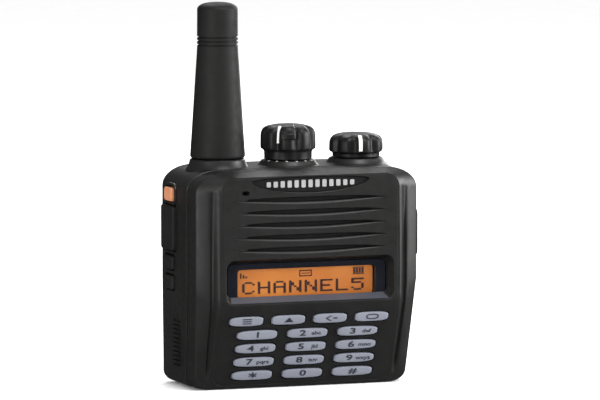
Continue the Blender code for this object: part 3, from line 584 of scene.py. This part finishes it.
def rear_shell():
    """The rear shell: the knobs' and antenna's bosses, the battery's bay, and the holes in its sides."""
    rings = [
        body_ring(REAR_Y, SEAM_LEAN, SEAM_FOOT, 39.7, 0.3, 0.3),
        body_ring(REAR_Y + 0.3, SEAM_LEAN, SEAM_FOOT, 39.95, 0.05, 0.05),
        body_ring(REAR_Y + 0.8, SEAM_LEAN, SEAM_FOOT),
        body_ring(2.0, UPRIGHT, 0.6),
    ]
    for i in range(BACK_STEPS + 1):
        turn = math.pi / 2 * i / BACK_STEPS
        inset = BACK_ROUND * (1 - math.cos(turn))
        y = BACK_Y - BACK_ROUND * (1 - math.sin(turn))
        rings.append(body_ring(y, UPRIGHT, 0.4, BODY_HALF - inset, inset, inset))
    foot = ((11.2, 70.0), (11.0, 73.6), (10.3, 74.6), (9.8, 75.6), (9.6, 76.6), (9.45, 77.0), (9.0, 77.3))
    collar = ((12.0, 73.0), (10.9, 74.3), (10.2, 74.7), (9.7, 75.2), (9.4, 75.9), (9.1, 76.25), (8.6, 76.4))
    bosses = [turned(foot, ANTENNA_X, ANTENNA_Y, steps=72)]
    for x in (CHANNEL_X, VOLUME_X):
        bosses.append(turned(collar, x, KNOB_Y, steps=72))
    surround = side_shape("emergency_button", ((3.2, -39.0), (3.0, -40.35), (2.4, -40.6)))
    ribs = []
    for i in range(RIB_COUNT):
        z = RIB_LOW_Z + i * RIB_PITCH
        rib = ((-40.55, z - 0.2), (-40.55, z + 0.2), (-39.0, z + 0.55), (-39.0, z - 0.55))
        ribs.append(prism(rib, "y", -0.9, 5.1))
    inside = loft(
        [
            body_ring(REAR_Y - 1, SEAM_LEAN, SEAM_FOOT, 38, WALL, WALL, INNER_SHOULDER, INNER_HEEL),
            body_ring(BAY_Y - WALL, UPRIGHT, 0.4, 38, WALL, WALL, INNER_SHOULDER, INNER_HEEL),
        ],
        mirrored=True,
    )
    # The hollow beside and above the battery's bay.
    arch = [
        (-37.8, 30), (-33, 30), (-33, 61), (33, 61), (33, 30),
        (37.8, 30), (37.8, 69), (34, 72), (-34, 72), (-37.8, 69),
    ]
    bay_z, bay_tall = (BAY_LOW + BAY_HIGH) / 2, BAY_HIGH - BAY_LOW
    bay = rounded_rect(0, bay_z, 2 * BAY_HALF, bay_tall, 2.0)
    mouth = rounded_rect(0, bay_z, 2 * BAY_HALF + 0.7, bay_tall + 0.7, 2.3)
    bay_cut = stacked(((bay, BAY_Y), (bay, BACK_Y - 0.4), (mouth, BACK_Y + 0.02), (mouth, BACK_Y + 1)), "y")
    latch_notch = box((-8.4, 8.4), (13.4, BACK_Y + 1), (1.0, 5))
    latch_pivots = turned([(1.3, -9.8), (1.3, 9.8)], 15.5, 3.2, "x", 24)
    cuts = [turned([(4.3, 70), (4.3, 79)], ANTENNA_X, ANTENNA_Y)]
    cuts += [turned([(3.5, 70), (3.5, 78)], x, KNOB_Y) for x in (CHANNEL_X, VOLUME_X)]
    hole_steps = ((1.5, -42.0), (1.2, -40.02), (0.8, -39.85), (0.6, -39.5), (0.6, -36.5))
    cuts += [side_shape(name, hole_steps) for name in SIDE_BUTTONS]
    cuts.append(prism(rounded_rect(JACK_Y, JACK_Z, JACK_W, JACK_H, 1.0), "x", 36.5, 42))
    for s in (-1, 1):
        well = [(1.5, -12), (1.5, 16.2), (2.6, 16.2), (2.6, BACK_Y - 0.4), (2.9, BACK_Y + 0.02), (2.9, 20)]
        cuts.append(turned(well, s * SCREW_X, SCREW_Z, "y", 40))
        cuts.append(turned([(1.3, 14), (1.3, 20)], s * CLIP_SCREW_X, CLIP_SCREW_Z, "y", 24))
    made = carved(
        "rear_shell",
        loft(rings, mirrored=True),
        ("UNION", [*bosses, surround, *ribs]),
        ("DIFFERENCE", [inside]),
        ("DIFFERENCE", [prism(arch, "y", 2.0, 16.2)]),
        ("DIFFERENCE", [bay_cut]),
        ("DIFFERENCE", cuts),
        ("DIFFERENCE", [latch_notch]),
        ("DIFFERENCE", [latch_pivots]),
    )
    finished(made, CASE, replaces=["rear_case"])


def gasket():
    """The strip in the seam between the shells."""
    rings = []
    for inset in (0.6, 1.9):
        shoulder = (SHOULDER[0] - inset, SHOULDER[1] - inset)
        heel = (HEEL[0] - inset, HEEL[1] - inset)
        for y in (PART_Y + 0.1, REAR_Y - 0.1):
            rings.append(body_ring(y, SEAM_LEAN, SEAM_FOOT, BODY_HALF - inset, inset, inset, shoulder, heel))
    shape = loft([rings[0], rings[1], rings[3], rings[2]], tube=True)
    piece("seam_gasket", shape, RUBBER, slot="black_rubber", replaces=["case_gasket"])


# ------------------------------------------------------------------- front details


def keytop(name):
    """A key with a rounded top, and a flange behind the front shell that holds it in."""
    x, z, width = key_place(name)
    steps = (
        (1.0, 3.1), (1.0, 2.35), (0.0, 2.3), (0.0, -0.45), (-0.12, -0.65), (-0.4, -0.82), (-0.9, -0.93),
        (-1.6, -0.99), (-2.4, KEY_TOP_Y - PANEL_Y),
    )
    outlines = []
    for grow, depth in steps:
        height = KEY_H + (0.9 * grow if grow > 0 else grow)
        outlines.append((superellipse(x, z, width + grow, height, outer=key_side(x)), PANEL_Y + depth))
    shape = leaned(stacked(outlines, "y"))
    mark = name.removeprefix("key_")
    piece("keytop_" + mark, shape, KEYTOP, body=name, slot="grey_key", replaces=[name])


def flat_text(name, text, size, x, z, body, stretch=1.75, bold=0.07):
    """Lettering as a thin solid on the front of a key, with its middle at (x, z)."""
    curve = bpy.data.curves.new(name, "FONT")
    curve.body = text
    curve.size = size
    curve.extrude = 0.03
    curve.offset = bold
    curve.resolution_u = 3
    curve.align_x = "CENTER"
    curve.align_y = "CENTER"
    holder = bpy.data.objects.new(name, curve)
    bpy.context.scene.collection.objects.link(holder)
    bpy.context.view_layer.update()
    mesh = bpy.data.meshes.new_from_object(holder.evaluated_get(bpy.context.evaluated_depsgraph_get()))
    bpy.data.objects.remove(holder)
    shape = bmesh.new()
    shape.from_mesh(mesh)
    bpy.data.meshes.remove(mesh)
    bmesh.ops.remove_doubles(shape, verts=shape.verts, dist=0.0005)
    for vert in shape.verts:
        vert.co = Vector((x + vert.co.x * stretch, KEY_TOP_Y - 0.01 - vert.co.z, z + vert.co.y))
    piece(name, leaned(shape), INK, body=body, slot="dark_plastic")


def flat_marks(name, outlines, look=INK, body=HOUSING, slot="dark_plastic", y=KEY_TOP_Y + 0.02, depth=0.06):
    """Separate flat marks in one piece, standing a little out of what they are on. On a key they lean too."""
    shape = combined([prism(outline, "y", y - depth, y + 0.05) for outline in outlines])
    if body != HOUSING:
        leaned(shape)
    piece(name, shape, look, body=body, slot=slot)


def bar(x, z, width, height):
    """A rectangle's outline about its middle."""
    left, right = x - width / 2, x + width / 2
    low, high = z - height / 2, z + height / 2
    return [(left, low), (right, low), (right, high), (left, high)]


DIGIT_SIZE = 2.75
PHONE_LETTERS = ("", "abc", "def", "ghi", "jkl", "mno", "pqrs", "tuv", "wxyz")


def digit_legend(name, mark):
    """A number key's digit, with its letters to the right."""
    x, z, _ = key_place(name)
    letters = PHONE_LETTERS[int(mark) - 1]
    shift = 1.9 if letters else 0.0
    flat_text("digit_" + mark, mark, DIGIT_SIZE, x - shift, z, name)
    if letters:
        flat_text("letters_" + mark, letters, 1.75, x + 3.0, z - 0.1, name, 1.45, 0.045)


def sign_legend(name, mark):
    """The zero, star or hash, alone in the middle of its key."""
    x, z, _ = key_place(name)
    text = {"0": "0", "star": "*", "hash": "#"}[mark]
    size, drop = (4.0, 0.7) if mark == "star" else (DIGIT_SIZE, 0.0)
    flat_text("sign_" + mark, text, size, x, z - drop, name)


def function_marks():
    """Plain signs on the top row: three bars, a triangle, an arrow and a ring."""
    x, z, _ = key_place("key_menu")
    lines = [bar(x, z + 0.75 * k, 3.2, 0.36) for k in (-1, 0, 1)]
    flat_marks("menu_bars", lines, body="key_menu")
    x, z, _ = key_place("key_a")
    triangle = [(x - 1.7, z - 0.8), (x + 1.7, z - 0.8), (x, z + 0.9)]
    flat_marks("up_mark", [triangle], body="key_a")
    x, z, _ = key_place("key_b")
    chevron = [
        (x - 2.0, z), (x - 0.2, z + 0.95), (x + 0.5, z + 0.95),
        (x - 1.1, z), (x + 0.5, z - 0.95), (x - 0.2, z - 0.95),
    ]
    flat_marks("left_mark", [chevron, bar(x + 1.6, z, 1.5, 0.5)], body="key_b")
    x, z, _ = key_place("key_back")
    outer = superellipse(x, z, 4.6, 1.9, 2.6, 28)
    inner = superellipse(x, z, 3.6, 1.2, 2.6, 28)
    low, top = PANEL_Y - 0.95, PANEL_Y - 1.06
    ring_mark = stacked(((outer, low), (outer, top), (inner, top), (inner, low)), "y", tube=True)
    piece("back_mark", leaned(ring_mark), INK, body="key_back", slot="dark_plastic")


def key_legends():
    for name in KEYS:
        mark = name.removeprefix("key_")
        if mark in ("0", "star", "hash"):
            sign_legend(name, mark)
        elif mark.isdigit():
            digit_legend(name, mark)
    function_marks()


BADGE_BARS, BADGE_PITCH = 13, 2.5


def badge():
    """A dark inlay with a row of plain bars, taller toward the middle."""
    shape = prism(badge_outline(0.05), "y", PANEL_Y + 0.45, PANEL_Y + 0.75)
    piece("badge_inlay", shape, SMOOTH, slot="dark_plastic", bevel=0.1, replaces=["badge_plate"])
    bars = []
    for i in range(BADGE_BARS):
        x = (i - (BADGE_BARS - 1) / 2) * BADGE_PITCH
        height = 1.5 + 1.1 * math.cos(math.pi / 2 * x / 17.5)
        bars.append(rounded_rect(x, BADGE_Z + 0.35, 1.5, height, 0.3, 2))
    flat_marks("badge_bars", bars, SILVER, y=PANEL_Y + 0.45, depth=0.12)


GLYPHS = {
    "C": ("01110", "10001", "10000", "10000", "10000", "10001", "01110"),
    "H": ("10001", "10001", "10001", "11111", "10001", "10001", "10001"),
    "A": ("01110", "10001", "10001", "11111", "10001", "10001", "10001"),
    "N": ("10001", "11001", "11001", "10101", "10011", "10011", "10001"),
    "E": ("11111", "10000", "10000", "11110", "10000", "10000", "11111"),
    "L": ("10000", "10000", "10000", "10000", "10000", "10000", "11111"),
    "5": ("11111", "10000", "11110", "00001", "00001", "10001", "01110"),
}
DISPLAY_TEXT = "CHANNEL5"
LETTER_PITCH, LETTER_TOP = 5.62, 36.4
DOT_W, DOT_H, DOT_STEP_X, DOT_STEP_Z = 0.93, 0.6, 0.9, 0.59
LCD_W, LCD_LOW, LCD_HIGH = 49.2, 31.5, 40.9
LCD_Z, LCD_H = (LCD_LOW + LCD_HIGH) / 2, LCD_HIGH - LCD_LOW


def text_dots():
    """The display's lettering as dots in a grid."""
    dots = []
    for i, letter in enumerate(DISPLAY_TEXT):
        left = (i - 3.5) * LETTER_PITCH - 0.5 - 2 * DOT_STEP_X
        for row, line in enumerate(GLYPHS[letter]):
            for column, on in enumerate(line):
                if on == "1":
                    x, z = left + column * DOT_STEP_X, LETTER_TOP - row * DOT_STEP_Z
                    dots.append(bar(x, z, DOT_W, DOT_H))
    return dots


def display_icons():
    """Signal bars at the left, a small box in the middle and a battery at the right."""
    icons = [bar(-22.9, 38.9, 0.5, 1.9), bar(-21.9, 38.6, 0.6, 1.3), bar(-20.9, 38.3, 0.6, 0.7)]
    icons += [bar(0.4, 39.9, 4.6, 0.4), bar(0.4, 38.1, 4.6, 0.4), bar(0.4, 39.0, 3.0, 0.3)]
    icons += [bar(-1.7, 39.0, 0.4, 1.4), bar(2.5, 39.0, 0.4, 1.4)]
    icons += [bar(18.0 + k, 39.2, 0.8, 1.7) for k in range(4)]
    icons += [bar(19.5, 40.3, 4.2, 0.3), bar(19.5, 38.1, 4.2, 0.3)]
    return icons


def display():
    """The display behind its lens, a thin sheet over the sloping sill below it whose light bluish grey is a
    painted reflection of the bright room, and the cloth behind the slots.
    """
    lcd_low, lcd_high = corners("lcd_panel")
    face = lcd_low.y
    glass = box((lcd_low.x, lcd_high.x), (face, lcd_high.y), (lcd_low.z, lcd_high.z))
    piece("lcd_border", glass, LENS, slot="amber_lcd", replaces=["lcd_panel"])
    lit = prism(rounded_rect(0, LCD_Z, LCD_W, LCD_H, 0.9), "y", face - 0.08, face + 0.1)
    piece("lcd_lit_area", lit, AMBER, slot="amber_lcd")
    marks = text_dots() + display_icons()
    flat_marks("display_dots", marks, SEGMENT, slot="amber_lcd", y=face - 0.08, depth=0.05)
    lens_low, lens_high = corners("display_window")
    outer = rounded_rect(0, RECESS_Z, LENS_W, LENS_H, LENS_R)
    rim = rounded_rect(0, RECESS_Z, LENS_W - 0.3, LENS_H - 0.3, LENS_R - 0.15)
    inner = rounded_rect(0, LCD_Z, LCD_W + 0.6, LCD_H + 0.6, 1.1)
    frame_steps = (
        (outer, lens_high.y), (outer, lens_low.y + 0.15), (rim, lens_low.y),
        (inner, lens_low.y), (inner, lens_high.y),
    )
    lens_frame = stacked(frame_steps, "y", tube=True)
    piece("lens_frame", lens_frame, LENS, slot="window_plastic", replaces=["display_window"])
    pane = prism(inner, "y", lens_low.y + 0.1, lens_high.y - 0.1)
    piece("lens_pane", pane, PANE, slot="window_plastic")
    # This thin sheet lies on the recess's sloping sill, and its colour is a painted reflection, not the
    # plastic's own.
    sill = [
        (PANEL_Y + 0.55, 30.02), (SEAT_Y - 0.05, SILL_Z - 0.12), (SEAT_Y - 0.05, SILL_Z + 0.06),
        (PANEL_Y + 0.45, 30.18),
    ]
    piece("painted_reflection_sill", prism(sill, "x", -28.3, 28.3), SILL_PAINTED_REFLECTION, slot="black_plastic")
    cloth = box((-30, 30), (PANEL_Y + 2.05, PANEL_Y + 2.15), (46.2, 68.4))
    piece("grille_cloth", cloth, CLOTH, slot="speaker_paper")


# --------------------------------------------------------------- antenna and knobs


GROOVE_COUNT, GROOVE_PITCH, GROOVE_LOW_Z = 3, 1.3, 116.1


def antenna():
    """A tapering rubber sheath with grooves below its cap, and a rounded top."""
    low, high = corners("antenna_sheath")
    base_r, tip_r, top = 9.35, 6.95, high.z
    taper_foot, taper_top, taper_steps = low.z + 1.2, 114.8, 8
    profile = [(3.0, low.z), (8.6, low.z), (9.05, low.z + 0.12), (base_r, low.z + 0.55), (base_r, taper_foot)]
    for i in range(1, taper_steps + 1):
        share = i / taper_steps
        profile.append((base_r + (tip_r - base_r) * share, taper_foot + (taper_top - taper_foot) * share))
    groove = ((-0.34, 0.0), (-0.26, 0.12), (-0.2, 0.42), (0.2, 0.42), (0.26, 0.12), (0.34, 0.0))
    for i in range(GROOVE_COUNT):
        z = GROOVE_LOW_Z + i * GROOVE_PITCH
        profile += [(tip_r - inset, z + step) for step, inset in groove]
    profile += [(tip_r, 120.0), (tip_r - 0.03, 124.0)]
    dome_r, dome_h, dome_steps = tip_r - 0.05, 2.4, 10
    for i in range(dome_steps):
        turn = math.pi / 2 * i / dome_steps
        profile.append((dome_r * math.cos(turn) ** 0.75, top - dome_h + dome_h * math.sin(turn)))
    profile.append((0.3, top))
    shape = turned(profile, ANTENNA_X, ANTENNA_Y, steps=96)
    piece("antenna_cover", shape, SHEATH, slot="black_rubber", sharp=50, replaces=["antenna_sheath"])


LOBES, KNOB_STEPS = 8, 160
# Azimuths: of one groove on each knob, and of its white line with the height the line starts at.
KNOB_PHASE = {"channel_knob": -44.7, "volume_knob": -23.5}
KNOB_LINE = {"channel_knob": (-44.7, 82.4), "volume_knob": (-10.0, 79.0)}
LINE_INNER = 5.5
TICKS = 16


def heading(azimuth):
    """The level direction at an azimuth, which is 0 to the front and grows to the right."""
    turn = math.radians(azimuth)
    return Vector((math.sin(turn), -math.cos(turn), 0))


def fluted(radius, flute, turn):
    """A knob's radius at a turn from the middle of a groove, where its grooves are this deep."""
    return radius - flute * (0.5 + 0.5 * math.cos(LOBES * turn)) ** 2.4


def knob_ring(x, radius, z, flute, phase):
    ring = []
    for i in range(KNOB_STEPS):
        turn = 2 * math.pi * i / KNOB_STEPS
        reach = fluted(radius, flute, turn - phase)
        ring.append(Vector((x + reach * math.cos(turn), KNOB_Y + reach * math.sin(turn), z)))
    return ring


def knob(name, x, steps, body, tab=None):
    """A lobed knob from (radius, height, groove depth) steps, with a white line up one side."""
    low = corners(name)[0]
    first = heading(KNOB_PHASE[name])
    phase = math.atan2(first.y, first.x)
    hollow = ((2.3, low.z + 2.4), (5.4, low.z + 2.4), (5.4, low.z))
    rings = [knob_ring(x, radius, z, 0, phase) for radius, z in hollow]
    rings += [knob_ring(x, radius, z, flute, phase) for radius, z, flute in steps]
    additions = [("UNION", [tab])] if tab else []
    made = carved(name + "_grip", loft(rings), *additions)
    finished(made, KNOB, body=body, slot="dark_plastic", sharp=40, replaces=[name])
    azimuth, foot = KNOB_LINE[name]
    out = heading(azimuth)
    across = Vector((-out.y, out.x, 0))
    middle = Vector((x, KNOB_Y, 0))
    turn = math.atan2(out.y, out.x)
    rows = []
    for radius, z, flute in steps:
        if z < foot or radius < LINE_INNER:
            continue
        reach = fluted(radius, flute, turn - phase)
        # The line stands a little higher where the knob's top curves in.
        lift = 0.12 if radius < 8.6 and z > low.z + 5 else 0.0
        outer = middle + out * (reach + 0.12) + Vector((0, 0, z + lift))
        inner = middle + out * (reach - 0.6) + Vector((0, 0, z - 0.4))
        rows.append([outer - across * 0.6, outer + across * 0.6, inner + across * 0.6, inner - across * 0.6])
    piece(name + "_line", loft(rows), WHITE, body=body, slot="dark_plastic", sharp=60)


def finger_tab(x, azimuth):
    """A raised grip on the channel knob's front lobe, stepped once."""
    out = heading(azimuth)
    across = Vector((-out.y, out.x, 0))
    middle = Vector((x, KNOB_Y, 0))
    bulge = 1.2
    rings = []
    # Each step is a height, half the grip's width there, and how far out it reaches.
    steps = (
        (83.6, 2.7, 9.2), (84.0, 2.8, 9.75), (85.6, 2.8, 9.75), (85.9, 2.7, 9.45), (86.6, 2.6, 9.4),
        (87.6, 2.4, 9.0), (88.2, 2.1, 8.3), (88.45, 1.6, 7.4),
    )
    for z, half, reach in steps:
        ring = [middle + out + across * half, middle + out - across * half]
        for k in range(9):
            turn = math.pi * (k / 8 - 0.5)
            outward = out * (reach - bulge + bulge * math.cos(turn))
            ring.append(middle + outward + across * half * math.sin(turn))
        rings.append([point + Vector((0, 0, z)) for point in ring])
    return loft(rings)


def channel_ticks():
    """Short white marks on the boss round the channel knob."""
    centre = Vector((CHANNEL_X, KNOB_Y, 0))
    ticks = []
    for i in range(TICKS):
        turn = 2 * math.pi * i / TICKS
        out = Vector((math.cos(turn), math.sin(turn), 0))
        across = Vector((-out.y, out.x, 0))
        corner_steps = ((8.45, -0.3), (8.45, 0.3), (8.95, 0.3), (8.95, -0.3))
        rings = []
        for z in (76.1, 76.42):
            rings.append([centre + out * r + across * w + Vector((0, 0, z)) for r, w in corner_steps])
        ticks.append(loft(rings))
    piece("channel_ticks", combined(ticks), WHITE, slot="dark_plastic")


def controls():
    channel_steps = (
        (8.15, 76.9, 0.1), (8.2, 79.2, 0.3), (8.5, 79.7, 0.6), (9.2, 80.1, 1.0), (9.45, 80.6, 1.3),
        (9.45, 82.5, 1.4), (9.4, 84.6, 1.5), (9.25, 85.8, 1.5), (8.8, 86.8, 1.4), (8.0, 87.5, 1.2),
        (6.7, 88.0, 0.8), (5.0, 88.3, 0.35), (2.5, 88.45, 0.0), (0.4, 88.45, 0.0),
    )
    volume_steps = (
        (8.15, 76.9, 0.1), (8.2, 77.9, 0.3), (8.7, 78.3, 0.7), (9.3, 78.6, 1.0), (9.45, 79.1, 1.3),
        (9.45, 80.6, 1.4), (9.35, 82.0, 1.4), (9.0, 82.9, 1.3), (8.3, 83.6, 1.1), (7.0, 84.2, 0.7),
        (5.2, 84.6, 0.3), (2.6, 84.8, 0.0), (0.4, 84.8, 0.0),
    )
    knob("channel_knob", CHANNEL_X, channel_steps, "channel_control", finger_tab(CHANNEL_X, -20.0))
    knob("volume_knob", VOLUME_X, volume_steps, "volume_control")
    channel_ticks()


# ------------------------------------------------------------------- side parts


def ptt_ribs():
    """Faint ribs across the push-to-talk button."""
    y, z, depth, _ = side_place("ptt_button")
    face = corners("ptt_button")[0].x
    ribs = []
    for k in range(-3, 4):
        rib = rounded_rect(y, z + 1.7 * k, depth - 3.6, 0.7, 0.3, 3)
        ribs.append(prism(rib, "x", face + 0.3, face - 0.02))
    return ribs


def side_buttons():
    """Buttons with a rounded outer edge, and a flange behind the rear shell that holds them in."""
    flange_x = -37.5
    looks = {"emergency_button": (ORANGE, "orange_plastic")}
    additions = {"ptt_button": [("UNION", ptt_ribs())]}
    for name in SIDE_BUTTONS:
        low, high = corners(name)
        steps = (
            (1.2, high.x), (1.2, flange_x), (0.0, flange_x + 0.05), (0.0, low.x + 0.6),
            (-0.12, low.x + 0.35), (-0.4, low.x + 0.15), (-0.9, low.x + 0.04), (-1.5, low.x),
        )
        made = carved(name + "_cap", side_shape(name, steps), *additions.get(name, []))
        look, slot = looks.get(name, (RUBBER, "black_rubber"))
        finished(made, look, body=name, slot=slot, replaces=[name])


def jack_cover():
    """A rubber flap with a plug on its inner face, a thin line to bend at, and grip grooves."""
    low, high = corners("jack_cover")
    plate_in = 40.3
    y, z = (low.y + high.y) / 2, (low.z + high.z) / 2
    depth, height = high.y - low.y, high.z - low.z
    steps = (
        (0.25, plate_in), (0.0, plate_in + 0.2), (0.0, high.x - 0.5),
        (0.15, high.x - 0.2), (0.5, high.x - 0.03), (1.0, high.x),
    )
    outlines = []
    for inset, x in steps:
        outlines.append((rounded_rect(y, z, depth - 2 * inset, height - 2 * inset, 1.6 - inset / 2), x))
    plug = prism(rounded_rect(JACK_Y, JACK_Z, JACK_W - 0.8, JACK_H - 1.0, 0.8), "x", 38.4, plate_in + 0.2)
    grooves = []
    for k in range(4):
        grip = rounded_rect(high.y - 2.4, z + 2.2 * (k - 1.5), 2.4, 0.7, 0.3, 3)
        grooves.append(prism(grip, "x", high.x - 0.25, high.x + 1))
    crease = rounded_rect(low.y + 2.4, z, 0.6, height - 2.4, 0.28, 3)
    grooves.append(prism(crease, "x", high.x - 0.3, high.x + 1))
    flap = stacked(outlines, "x")
    made = carved("jack_cover_flap", flap, ("UNION", [plug]), ("DIFFERENCE", grooves))
    finished(made, RUBBER, body="jack_cover", slot="black_rubber", replaces=["jack_cover"])


# ------------------------------------------------------------------- back parts


LABEL_Z, LABEL_Y = 28.0, 17.6


def battery():
    """The battery's shell with a plain ruled label, grip grooves at its foot and room for the latch."""
    low, high = corners("battery_case")
    z = (low.z + high.z) / 2
    steps = ((0.0, low.y), (0.0, high.y - 0.7), (0.12, high.y - 0.35), (0.4, high.y - 0.1), (0.8, high.y))
    outlines = []
    for inset, y in steps:
        outlines.append((rounded_rect(0, z, high.x - low.x - 2 * inset, high.z - low.z - 2 * inset, 1.8), y))
    label_seat = prism(rounded_rect(0, LABEL_Z, 44.0, 26.0, 1.5), "y", LABEL_Y, BACK_Y + 1)
    grips = []
    for s in (-1, 1):
        for k in range(4):
            groove = rounded_rect(s * 24.5, 13.5 - 1.5 * k, 7.0, 0.7, 0.3, 3)
            grips.append(prism(groove, "y", 17.3, BACK_Y + 1))
    latch_room = box((-8.5, 8.5), (13.3, BACK_Y + 1), (3, 10.4))
    cell_room = box((-28.8, 28.8), (5, 15.6), (11, 57))
    made = carved(
        "battery_shell",
        stacked(outlines, "y"),
        ("DIFFERENCE", [cell_room]),
        ("DIFFERENCE", [label_seat, *grips, latch_room]),
    )
    finished(made, CASE, replaces=["battery_case"])
    sticker = rounded_rect(0, LABEL_Z, 43.4, 25.4, 1.3)
    piece("battery_label", prism(sticker, "y", LABEL_Y + 0.01, LABEL_Y + 0.1), SMOOTH, slot="dark_plastic")
    rules = [bar(0, LABEL_Z + 5.0 * k, 36.0, 0.25) for k in (-1, 0, 1)]
    lines = combined([prism(outline, "y", LABEL_Y + 0.08, LABEL_Y + 0.13) for outline in rules])
    piece("label_rules", lines, SILVER, slot="dark_plastic")


def bevelled(name, node, look, slot, body, width):
    """A CAD shape with its edges softened."""
    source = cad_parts[node]
    shape = bmesh.new()
    shape.from_mesh(source.data)
    bmesh.ops.remove_doubles(shape, verts=shape.verts, dist=0.00001)
    bmesh.ops.dissolve_limit(shape, angle_limit=math.radians(1), verts=shape.verts, edges=shape.edges)
    shape.transform(Matrix.Scale(1 / MM, 4))
    piece(name, shape, look, body=body, slot=slot, bevel=width, replaces=[node])


def clip_grip():
    """Ribs for the thumb at the top of the belt clip, where its outer face bends forward."""
    face_y = corners("belt_clip")[1].y
    bend_low, bend_high, bend = 60.0, 72.2, 0.7
    ribs = []
    for i in range(4):
        z = 66.6 + 1.5 * i
        surface = face_y - bend * (z - bend_low) / (bend_high - bend_low)
        ribs.append(prism(rounded_rect(0, z, 13.0, 0.6, 0.28, 3), "y", surface - 0.3, surface + 0.22))
    piece("clip_thumb_ribs", combined(ribs), SMOOTH, body="belt_clip", slot="black_plastic", bevel=0.1)


def screws():
    """Cross-headed screws, on axes that run front to back."""
    looks = {
        "case_screw_left": DARK_STEEL, "case_screw_right": DARK_STEEL,
        "clip_screw_left": STEEL, "clip_screw_right": STEEL,
    }
    for name, look in looks.items():
        low, high = corners(name)
        x, z, top = (low.x + high.x) / 2, (low.z + high.z) / 2, high.y
        r = (high.x - low.x) / 2
        under = top - 1.2
        profile = [
            (0.55 * r, low.y), (0.55 * r, under), (r, under), (r, top - 0.45),
            (r * 0.93, top - 0.2), (r * 0.75, top - 0.05), (r * 0.5, top),
        ]
        arm, thin, deep = 0.62 * r, 0.2, (top - 0.6, top + 1)
        level = box((x - arm, x + arm), deep, (z - thin, z + thin))
        upright = box((x - thin, x + thin), deep, (z - arm, z + arm))
        made = carved(
            name + "_head",
            turned(profile, x, z, "y", 40),
            ("DIFFERENCE", [level]),
            ("DIFFERENCE", [upright]),
        )
        finished(made, look, slot="steel", replaces=[name])


def internals():
    """The pieces inside keep their CAD shapes and get their materials."""
    looks = {
        "keypad_membrane": RUBBER, "lcd_backlight": DIFFUSER, "speaker_frame": STEEL,
        "speaker_cone": PAPER, "speaker_magnet": CAST, "microphone": CAST, "keypad_board": BOARD,
        "main_board": BOARD, "shield_can": STEEL, "chassis": CAST, "antenna_coil": COPPER,
        "antenna_plug": BRASS, "antenna_socket": BRASS, "channel_shaft": STEEL, "volume_shaft": STEEL,
        "channel_encoder": SMOOTH, "volume_potentiometer": SMOOTH, "side_switch_board": BOARD,
        "jack_block": SMOOTH, "battery_cells": WRAP, "belt_clip_pin": STEEL, "belt_clip_spring": STEEL,
    }
    for node, look in looks.items():
        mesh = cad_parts[node].data
        mesh.materials.clear()
        mesh.materials.append(look)


# ------------------------------------------------------------------------ stage


MIDDLE = (0.0, 0.0, 0.06)


def area_light(name, position, size, power):
    """A round lamp aimed at the object's middle, with its sizes in metres and its power in watts."""
    data = bpy.data.lights.new(name, "AREA")
    data.shape = "DISK"
    data.size = size
    data.energy = power
    light = bpy.data.objects.new(name, data)
    light.location = position
    light.rotation_euler = (Vector(MIDDLE) - Vector(position)).to_track_quat("-Z", "Y").to_euler()
    bpy.context.scene.collection.objects.link(light)


def photo_camera():
    """The camera at the photograph's angle, far off with a long lens."""
    scene = bpy.context.scene
    yaw, pitch, distance = math.radians(-20.0), math.radians(5.83), 2.5
    target = Vector((4.0, 0.0, 62.3)) * MM
    away = Vector((math.sin(yaw) * math.cos(pitch), -math.cos(yaw) * math.cos(pitch), math.sin(pitch)))
    data = bpy.data.cameras.new("camera")
    data.lens = 440
    data.sensor_width = 36
    data.clip_end = 50
    camera = bpy.data.objects.new("camera", data)
    camera.location = target + away * distance
    camera.rotation_euler = (-away).to_track_quat("-Z", "Y").to_euler()
    scene.collection.objects.link(camera)
    scene.camera = camera


def pale_ground():
    """A wide floor just under the base, which smooth surfaces don't mirror."""
    floor_mesh = bpy.data.meshes.new("floor")
    shape = bmesh.new()
    bmesh.ops.create_grid(shape, x_segments=1, y_segments=1, size=6.0)
    shape.to_mesh(floor_mesh)
    shape.free()
    floor_mesh.materials.append(FLOOR)
    floor = bpy.data.objects.new("floor", floor_mesh)
    floor.location.z = -0.0002
    floor.visible_glossy = False
    bpy.context.scene.collection.objects.link(floor)


def studio_light():
    """A white room that black plastic mirrors only faintly, and five soft lamps."""
    scene = bpy.context.scene
    world = bpy.data.worlds.new("studio")
    world.use_nodes = True
    tree = world.node_tree
    background = tree.nodes["Background"]
    background.inputs["Color"].default_value = (1, 1, 1, 1)
    rays = tree.nodes.new("ShaderNodeLightPath")
    glow = spread(tree, rays.outputs["Is Glossy Ray"], 1.07, 0.08, 0.0, 1.0)
    tree.links.new(glow, background.inputs["Strength"])
    scene.world = world
    scene.view_settings.view_transform = "Standard"
    area_light("top_light", (0.1, -0.5, 0.95), 0.5, 8.0)
    area_light("back_light", (0.15, 0.7, 0.8), 0.4, 3.0)
    area_light("back_fill", (0.7, 0.8, 0.3), 0.6, 6.5)
    area_light("right_light", (0.9, -0.3, 0.25), 0.5, 10.5)
    area_light("left_light", (-0.85, -0.6, 0.15), 0.35, 4.2)


def build():
    photo_camera()
    pale_ground()
    studio_light()
    internals()
    front_shell()
    rear_shell()
    gasket()
    for name in KEYS:
        keytop(name)
    key_legends()
    badge()
    display()
    antenna()
    controls()
    side_buttons()
    jack_cover()
    battery()
    bevelled("latch_lever", "battery_latch", SMOOTH, "dark_plastic", "battery_latch", 0.25)
    bevelled("clip_tongue", "belt_clip", SMOOTH, "black_plastic", "belt_clip", 0.3)
    bevelled("clip_bracket", "belt_clip_bracket", CASE, "black_plastic", HOUSING, 0.3)
    clip_grip()
    screws()


build()
